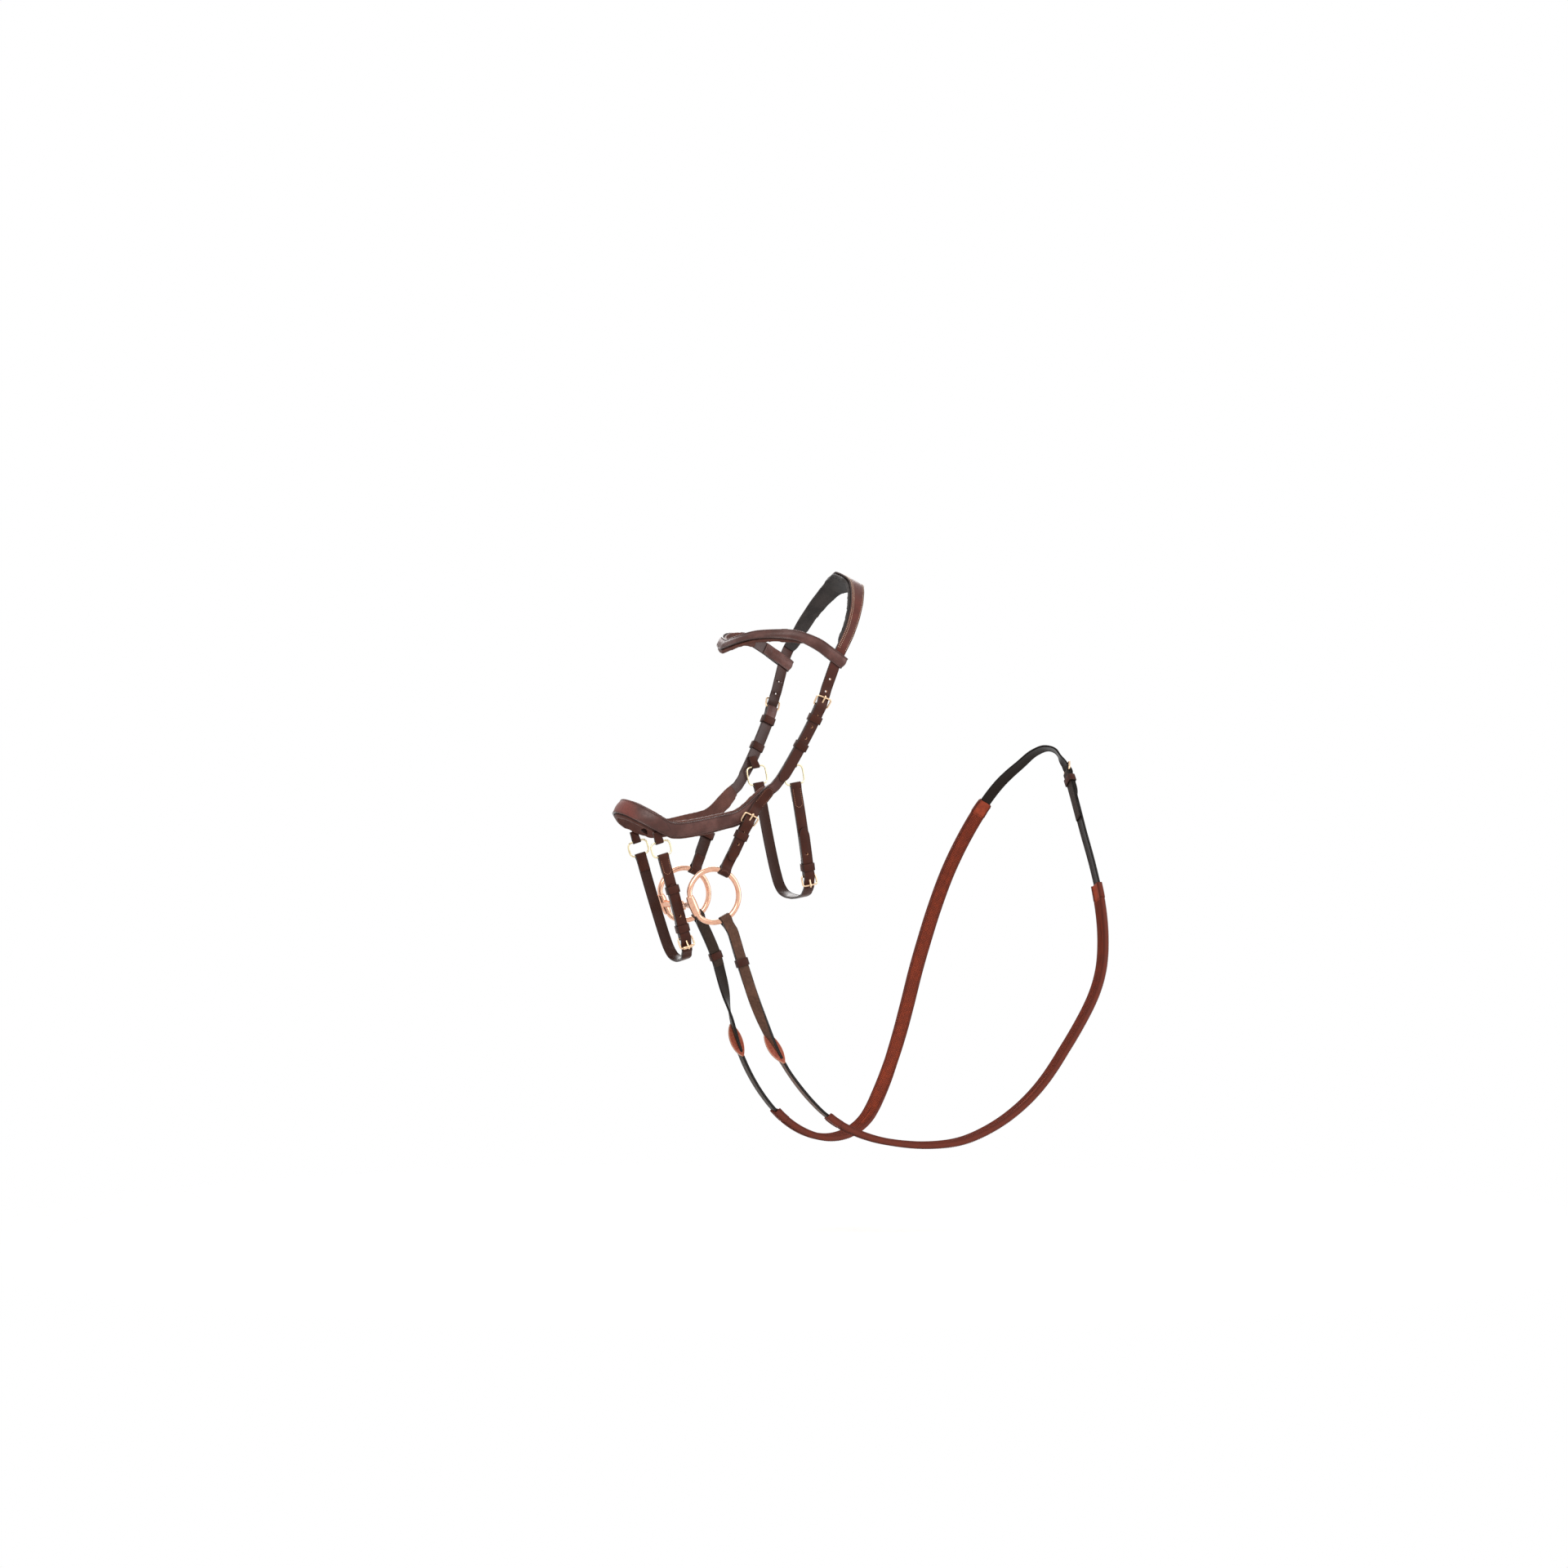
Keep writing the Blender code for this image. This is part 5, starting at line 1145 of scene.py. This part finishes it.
class BRIDLE_OT_stage(bpy.types.Operator):
    """Camera, floor, lamps and background"""

    bl_idname = "bridle.stage"
    bl_label = "Stage"

    def execute(self, context):
        view = context.scene.bridle_view
        ahead = Vector((-math.sin(view.azimuth), math.cos(view.azimuth), 0))
        camera = linked("camera", bpy.data.cameras.new("camera"))
        camera.data.lens = view.lens
        camera.data.clip_end = 100
        camera.location = VIEW_CENTRE - ahead * view.distance
        camera.rotation_euler = ahead.to_track_quat("-Z", "Y").to_euler()
        context.scene.camera = camera
        context.scene.view_settings.view_transform = "Standard"

        shape = bmesh.new()
        middle = Matrix.Translation((VIEW_CENTRE.x, VIEW_CENTRE.y, FLOOR_LEVEL))
        bmesh.ops.create_circle(shape, cap_ends=True, segments=96, radius=FLOOR_RADIUS, matrix=middle)
        floor = linked("floor", meshed("floor", shape))
        floor.data.materials.append(floor_paint(view.floor_colour))

        for name, place, size, power, colour in LAMPS:
            light = bpy.data.lights.new(name, "AREA")
            light.shape, light.size, light.energy = "SQUARE", size, power
            light.color = linear(colour)
            lamp = linked(name, light)
            lamp.location = VIEW_CENTRE + Vector(place)
            lamp.rotation_euler = (-Vector(place)).to_track_quat("-Z", "Y").to_euler()

        world = bpy.data.worlds.new("studio")
        context.scene.world = world
        world.use_nodes = True
        tree = world.node_tree
        tree.nodes.clear()
        ray = node(tree, "ShaderNodeLightPath").outputs
        seen = ray["Is Camera Ray"]
        for kind in ("Is Glossy Ray", "Is Transmission Ray"):
            seen = node(tree, "ShaderNodeMath", {0: seen, 1: ray[kind]}, operation="MAXIMUM")
        soft = node(tree, "ShaderNodeBackground", {"Color": (1, 1, 1), "Strength": WORLD_LIGHT})
        white = node(tree, "ShaderNodeBackground", {"Color": (1, 1, 1), "Strength": 1.0})
        both = node(tree, "ShaderNodeMixShader", {0: seen, 1: soft, 2: white})
        node(tree, "ShaderNodeOutputWorld", {"Surface": both})
        return {"FINISHED"}


class BRIDLE_OT_reins(bpy.types.Operator):
    """Both reins with grips, stops, keepers and the buckle that joins them"""

    bl_idname = "bridle.reins"
    bl_label = "Reins"

    def execute(self, context):
        looks, hide = context.scene.bridle_reins, context.scene.bridle_leather
        path = rein_path(20 * MM)
        if not 2 < length_of(path) < 3:
            raise RuntimeError("the line of the reins has lost its length")
        shared = [
            metal_piece("rein_buckle", BUCKLE_WIRE, context),
            metal_piece("rein_tongue", TONGUE_THICKNESS, context),
            fitting("rein_centre_keeper", context),
        ]
        for side in SIDES:
            name = f"{side}_rein"
            # The off rein takes the darker colour, which is painted shade on the far side.
            colour = looks.near if side == "near" else looks.off
            # The patch paints each rein darker from that place backwards: painted shade.
            hide_finish = finish_named(
                f"curried_{side}_rein_leather", leather, hex_of(colour), lighter(colour), "#17110D",
                0.46, ("#2B1C15", "X", looks.painted_shade_from, looks.painted_shade_from + 40 * MM),
            )
            rein = put(name, strap_mesh(name, rows(name), hide.edge_radius, step=REIN_STEP), hide_finish)
            punched(rein, name, hide.hole_radius)
            pieces = self.grip(side, looks, hide) + self.stop(side, looks, hide)
            pieces.append(fitting(f"{side}_rein_keeper", context))
            if side == "near":
                pieces += shared
            else:
                tip = max((rows(name)[end].left for end in (0, -1)), key=lambda place: place.x)
        return {"FINISHED"}

    def grip(self, side, looks, hide):
        """The rubber sleeve with its pimples, its bound border and a smooth sleeve at each end."""
        name = f"{side}_rein_grip"
        red = finish_named(
            "moulded_red_rubber", rubber, hex_of(looks.grip), lighter(looks.grip), "#4A221A",
        )
        dark = finish_named("dark_border_thread", thread, "#3A1C16", "#22100C")
        lines = rows(name)
        last = measured(lines)[0][-1]
        piece = put(name, strap_mesh(name, lines, GRIP_EDGE, step=6 * MM), red)
        middle = lines[len(lines) // 2]
        width = (middle.left - middle.right).length
        count = int((width / 2 - 3 * MM) / looks.pimple_pitch)
        insets = [width / 2 - k * looks.pimple_pitch for k in range(count + 1)]
        ends = looks.sleeve_length
        studs = [
            seam(lines, inset, way, ends, last - ends, face)
            for face in (1, -1) for inset in insets
            for way in ((-1, 1) if inset < width / 2 - MM / 10 else (1,))
        ]
        mesh = row_mesh(
            f"{side}_rein_pimples", pimple_tree(), studs, pitch=looks.pimple_pitch,
            width=looks.pimple_pitch * PIMPLE_SHARE, height=looks.pimple_height, slant=0.0, finish=red,
        )
        pieces = [piece, shown(f"{side}_rein_pimples", mesh, name, red)]
        border = [
            seam(lines, BORDER_INSET, way, ends, last - ends, face) for face in (1, -1) for way in (-1, 1)
        ]
        pieces.append(sewn(f"{side}_rein_grip_border", border, name, dark, hide))
        for word, start, end in (("low", 0, ends), ("high", last - ends, last)):
            thicker = stretch(lines, start, end, SLEEVE_RAISE)
            sleeve = strap_mesh("sleeve", thicker, 2.2 * MM, step=4 * MM)
            pieces.append(shown(f"{side}_rein_{word}_sleeve", sleeve, name, red))
        return pieces

    def stop(self, side, looks, hide):
        """The eye-shaped stop for a martingale's ring; the rein goes through it aslant."""
        name = f"{side}_rein_stop"
        tan = finish_named("vegetable_tanned_stop", leather, hex_of(looks.stop), "#93442F", "#B97A60", 0.45)
        low, high = (Vector(corner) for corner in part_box(name))
        path = rein_path(MM)
        middle = closest(path, (low + high) / 2)
        down = 1 if path[middle + 1].z < path[middle].z else -1
        near = Vector((0, -1, 0))
        reach = round(looks.stop_length / 2 / MM)
        lines = []
        for k in range(-reach, reach + 1, 2):
            share = k / reach
            place = path[middle + down * k]
            run = path[middle + down * (k + 1)] - path[middle + down * (k - 1)]
            run = (run.normalized() * looks.stop_length / 2 + near * looks.stop_slant).normalized()
            flat = run.cross(near).normalized()
            out = flat.cross(run).normalized()
            out = out if out.dot(near) > 0 else -out
            half = looks.stop_width / 2 * max(0.06, 1 - share ** 2) ** 0.75
            place = place + near * looks.stop_slant * share
            face = place + out * looks.stop_thickness / 2
            back = place - out * looks.stop_thickness / 2
            lines.append(Row(face + flat * half, face - flat * half, back + flat * half, back - flat * half))
        return [put(name, strap_mesh(name, lines, hide.edge_radius, step=2 * MM), tan)]


class BRIDLE_OT_pads(bpy.types.Operator):
    """The padded linings of headpiece, browband and noseband"""

    bl_idname = "bridle.pads"
    bl_label = "Linings"

    def execute(self, context):
        hide = context.scene.bridle_leather
        black = finish_named("black_nappa_lining", lining, "#2A2625", "#3B3533")
        brown = finish_named("brown_nappa_lining", lining, "#4A2A22", "#5E382E")
        for name, soft, low, high in (
            ("headpiece_pad", black, 0.5 * MM, 0.5 * MM), ("browband_pad", brown, hide.pad_roll, 0.3 * MM),
            ("noseband_pad", brown, hide.pad_roll, 0.6 * MM),
        ):
            lines = rows(name)
            along = measured(lines)[0]
            shares = [min(1, s / ROLL_TAPER, (along[-1] - s) / ROLL_TAPER) for s in along]
            lines = [wider(row, low * share, high * share) for row, share in zip(lines, shares)]
            thick = max((row.left - row.left_under).length for row in lines)
            mesh = strap_mesh(name, lines, thick * 0.45, step=REIN_STEP)
            put(name, stuffed(mesh, PAD_VOXEL, hide.pad_swell), soft)
        return {"FINISHED"}


class BRIDLE_OT_straps(bpy.types.Operator):
    """Headpiece, browband, noseband and the narrow straps"""

    bl_idname = "bridle.straps"
    bl_label = "Straps"

    def execute(self, context):
        hide = context.scene.bridle_leather
        channel = (hide.channel, hide.channel_depth, CHANNEL_REACH)
        # The crown is painted lighter at the top as painted light from above, and turns to the darker strap
        # colour lower down.
        crown = finish_named(
            "curried_crown_leather", leather, hex_of(hide.crown), lighter(hide.crown), "#36241F",
            0.40, (lighter(hide.strap, 0.2), "Z", *CROWN_PAINTED_LIGHT_FADE), 0.24,
        )
        face = finish_named(
            "curried_face_leather", leather, hex_of(hide.face), "#6A4640", "#3A2A27", 0.38,
            (hex_of(hide.nose), "X", *NOSE_PALE), 0.30,
        )
        narrow = strap_leather(hide)
        for name, material, dome in (
            ("headpiece", crown, CROWN_DOME), ("browband", face, hide.dome), ("noseband", face, hide.dome),
        ):
            lines = rows(name)
            if name == "noseband":
                lines = [cleared(row) for row in lines]
            mesh = strap_mesh(name, lines, hide.edge_radius, channel, dome)
            punched(put(name, mesh, material), name, hide.hole_radius)
        names = [f"{side}_bit_{word}" for side in SIDES for word in ("billet", "hanger")]
        names += [f"{word}_{part}" for word in ("jaw", "chin") for part in ("strap", "billet")]
        for name in names:
            mesh = strap_mesh(name, rows(name), hide.edge_radius, NARROW_CHANNEL)
            punched(put(name, mesh, narrow), name, hide.hole_radius)
        return {"FINISHED"}


class BRIDLE_OT_fittings(bpy.types.Operator):
    """Keepers, runners and the chapes that carry the small rings"""

    bl_idname = "bridle.fittings"
    bl_label = "Keepers and chapes"

    def execute(self, context):
        names = [f"{side}_{word}" for side in SIDES for word in (
            "cheek_keeper", "cheek_runner", "bit_keeper", "chin_chape", "jaw_chape",
        )]
        for name in names + ["jaw_keeper", "chin_keeper", "chin_runner"]:
            fitting(name, context)
        return {"FINISHED"}


class BRIDLE_OT_stitching(bpy.types.Operator):
    """The rows of stitches on the headstall and the straps under jaw and chin"""

    bl_idname = "bridle.stitching"
    bl_label = "Stitching"

    def execute(self, context):
        hide = context.scene.bridle_leather
        cream = finish_named("cream_thread", thread, "#DCC6AE", "#B49A80")
        tan = finish_named("tan_thread", thread, "#C08868", "#8E6048")
        dark = finish_named("dark_thread", thread, "#2A1814", "#170C0A")
        crown = rows("headpiece")
        last = measured(crown)[0][-1]
        middle = crown[len(crown) // 2]
        front = -1 if middle.left.x < middle.right.x else 1
        ends = (last / 2 - CROWN_SEAM / 2, last / 2 + CROWN_SEAM / 2)
        lines = [
            seam(crown, inset, way, *ends)
            for inset, way in ((NARROW_INSET, front), (INNER_INSET, front), (NARROW_INSET, -front))
        ]
        sewn("headpiece_stitches", lines, "headpiece", cream, hide)
        for name, inset in (("browband", NARROW_INSET), ("noseband", hide.channel)):
            band, lead = rows(name), BAND_LEAD[name]
            last = measured(band)[0][-1]
            lines = [seam(band, inset, way, lead, last - lead, lift=-STITCH_DEPTH) for way in (-1, 1)]
            if name == "noseband":
                for side in (-1, 1):
                    tip = nearest(band, WEDGE_TIP * Vector((1, side, 1)))
                    way = 1 if tip < last / 2 else -1
                    shares = [tenth / 10 for tenth in range(1, 10)]
                    marks = [(tip + way * WEDGE_LENGTH * abs(2 * share - 1), share) for share in shares]
                    lines.append(on_face(band, marks, hide.dome, hide.channel + CHANNEL_REACH))
            sewn(f"{name}_stitches", lines, name, dark, hide)
        lines = []
        for side in SIDES:
            ring = joint_place(f"{side}_bit_ring_turn")
            billet, hanger = rows(f"{side}_bit_billet"), rows(f"{side}_bit_hanger")
            lines.append(tip_seam(billet, HEAD_MIDDLE + Vector((0, 0, 0.2)), NARROW_INSET, TIP_SEAM))
            lines.append(fold_seam(hanger, ring + Vector((0.02, 0, 0.04)), NARROW_INSET, HANGER_SEAM))
        brown = finish_named("brown_thread", thread, "#8F604C", "#65402F")
        sewn("bit_strap_stitches", lines, "near_bit_hanger", brown, hide)
        for word, reach in LOOP_SEAMS.items():
            bar = joint_place(f"{word}_loop_swing")
            off_bar = Vector((bar.x, -bar.y, bar.z))
            lines = [
                fold_seam(rows(f"{word}_strap"), bar, LOOP_INSET, reach, LOOP_SEAM_START),
                fold_seam(rows(f"{word}_billet"), off_bar, LOOP_INSET, reach, LOOP_SEAM_START),
            ]
            sewn(f"{word}_strap_stitches", lines, f"{word}_strap", tan, hide)
        return {"FINISHED"}


class BRIDLE_OT_metal(bpy.types.Operator):
    """Buckles, tongues, small rings and the roller"""

    bl_idname = "bridle.metal"
    bl_label = "Buckles and rings"

    def execute(self, context):
        looks = context.scene.bridle_metal
        for place in ("near_cheek", "off_cheek", "near_bit", "off_bit", "chin", "jaw"):
            metal_piece(f"{place}_buckle", BUCKLE_WIRE, context)
            metal_piece(f"{place}_tongue", TONGUE_THICKNESS, context)
        pale = finish_named("pale_gold_plating", plated, hex_of(looks.ring), "#D2BF92", 0.18)
        for word, share in (("chin", SIX_SIDED_SHARE), ("jaw", JAW_RING_SHARE)):
            for side in SIDES:
                name = f"{side}_{word}_ring"
                put(name, polished(name, share * SMALL_WIRE / 2), pale)
        put("chin_roller", polished("chin_roller", ROLLER_GROWTH), rose_plating(context))
        return {"FINISHED"}


class BRIDLE_OT_bit(bpy.types.Operator):
    """The snaffle: two rings, two arms and the lozenge between them"""

    bl_idname = "bridle.bit"
    bl_label = "Bit"

    def execute(self, context):
        looks = context.scene.bridle_metal
        copper = finish_named("polished_copper_alloy", plated, hex_of(looks.bit), "#D0957A", 0.16)
        for side in SIDES:
            name = f"{side}_bit_ring"
            put(name, polished(name, EIGHT_SIDED_SHARE * RING_WIRE / 2), copper)
        for name in ("near_bit_arm", "off_bit_arm", "bit_lozenge"):
            put(name, cast(name, looks.voxel, BIT_ROUNDS), copper)
        return {"FINISHED"}


# Pieces that several steps make


def floor_paint(colour):
    """Matt white paint on board, with a faint roller grain; it fades out to the rim of the round floor."""
    material, tree, place = blank("matt_floor_paint")
    grain = node(tree, "ShaderNodeTexNoise", {"Vector": place, "Scale": 40.0})
    dull = node(tree, "ShaderNodeMapRange", {
        "Value": grain, "From Min": 0.0, "From Max": 1.0, "To Min": 0.80, "To Max": 0.90,
    }, interpolation_type="SMOOTHSTEP")
    centre = (VIEW_CENTRE.x, VIEW_CENTRE.y, FLOOR_LEVEL)
    away = node(tree, "ShaderNodeVectorMath", {0: place, 1: centre}, operation="DISTANCE")
    fade = node(tree, "ShaderNodeMapRange", {
        "Value": away, "From Min": FLOOR_RADIUS * 0.45, "From Max": FLOOR_RADIUS * 0.97,
    }, interpolation_type="SMOOTHSTEP")
    paint = node(tree, "ShaderNodeBsdfPrincipled", {"Base Color": colour, "Roughness": dull})
    clear = node(tree, "ShaderNodeBsdfTransparent")
    both = node(tree, "ShaderNodeMixShader", {0: fade, 1: paint, 2: clear})
    node(tree, "ShaderNodeOutputMaterial", {"Surface": both})
    return material


def hex_of(colour):
    """The sRGB hex code of a colour that Blender uses."""
    parts = [c * 12.92 if c <= 0.0031308 else 1.055 * c ** (1 / 2.4) - 0.055 for c in colour]
    return "#" + "".join(f"{round(max(0, min(1, c)) * 255):02X}" for c in parts)


def lighter(colour, share=0.45):
    """The hex code of the same leather or rubber where it has been rubbed paler."""
    return hex_of([c * (1 + share) for c in colour])


def stitch_tree():
    """The tree that sets stitches in a row."""
    name = "stitch row"
    return bpy.data.node_groups.get(name) or row_tree(name, stitch_shape, ("Length", "Thickness"))


def pimple_tree():
    """The tree that sets pimples in a row."""
    name = "pimple row"
    return bpy.data.node_groups.get(name) or row_tree(name, pimple_shape, ("Width", "Height"))


def sewn(name, lines, node_name, finish_of, hide):
    """A piece of stitches along lines, on the body of a solid."""
    lines = [line for line in lines if len(line) > 1]
    if not lines:
        raise RuntimeError(f"{name} has no line to follow")
    mesh = row_mesh(
        name, stitch_tree(), lines, pitch=hide.stitch_pitch, length=hide.stitch_pitch * STITCH_SHARE,
        thickness=hide.stitch_thread, slant=STITCH_SLANT, finish=finish_of,
    )
    return shown(name, mesh, node_name, finish_of)


def raw_hide():
    """The finish inside a punched hole, where the leather has taken no colour."""
    return finish_named("raw_hide", leather, "#C99A78", "#D8AE8E", "#C99A78", 0.7)


def strap_leather(hide):
    """The finish of the narrow straps, keepers and chapes."""
    return finish_named(
        "curried_strap_leather", leather, hex_of(hide.strap), lighter(hide.strap), "#33231E",
    )


def fitting(name, context):
    """A keeper, runner or chape with rounded, burnished edges."""
    return put(name, softened(name, FITTING_EDGE), strap_leather(context.scene.bridle_leather))


def rose_plating(context):
    """The finish of buckles, tongues and roller."""
    looks = context.scene.bridle_metal
    return finish_named("rose_gold_plating", plated, hex_of(looks.buckle), "#CFA684", 0.20)


def metal_piece(name, wire, context):
    """A buckle or tongue, rounded from its six-sided wire."""
    return put(name, polished(name, SIX_SIDED_SHARE * wire / 2), rose_plating(context))


class BRIDLE_PT_panel(bpy.types.Panel):
    """Every step of the bridle and its settings"""

    bl_idname = "BRIDLE_PT_panel"
    bl_label = "Bridle"
    bl_space_type = "VIEW_3D"
    bl_region_type = "UI"
    bl_category = "Bridle"

    def draw(self, context):
        for title, group, steps in PANEL_ROWS:
            box = self.layout.box()
            box.label(text=title)
            settings = getattr(context.scene, group)
            for key in settings.__annotations__:
                box.prop(settings, key)
            for step in steps:
                box.operator(f"bridle.{step}")


PANEL_ROWS = (
    ("View", "bridle_view", ("stage",)),
    ("Reins", "bridle_reins", ("reins",)),
    ("Leather", "bridle_leather", ("pads", "straps", "fittings", "stitching")),
    ("Metal", "bridle_metal", ("metal", "bit")),
)
GROUPS = {
    "bridle_view": BridleView, "bridle_leather": BridleLeather, "bridle_reins": BridleReins,
    "bridle_metal": BridleMetal,
}
CLASSES = (
    BridleView, BridleLeather, BridleReins, BridleMetal,
    BRIDLE_OT_stage, BRIDLE_OT_reins, BRIDLE_OT_pads, BRIDLE_OT_straps, BRIDLE_OT_fittings,
    BRIDLE_OT_stitching, BRIDLE_OT_metal, BRIDLE_OT_bit, BRIDLE_PT_panel,
)


def register():
    """Adds the classes, and the groups of settings to the scene."""
    for cls in CLASSES:
        bpy.utils.register_class(cls)
    for name, group in GROUPS.items():
        setattr(bpy.types.Scene, name, bpy.props.PointerProperty(type=group))


def unregister():
    """Takes out what register has added."""
    for name in GROUPS:
        delattr(bpy.types.Scene, name)
    for cls in reversed(CLASSES):
        bpy.utils.unregister_class(cls)


def main():
    """Makes every piece in order."""
    register()
    for *_, steps in PANEL_ROWS:
        for step in steps:
            getattr(bpy.ops.bridle, step)()


if __name__ == "__main__":
    main()
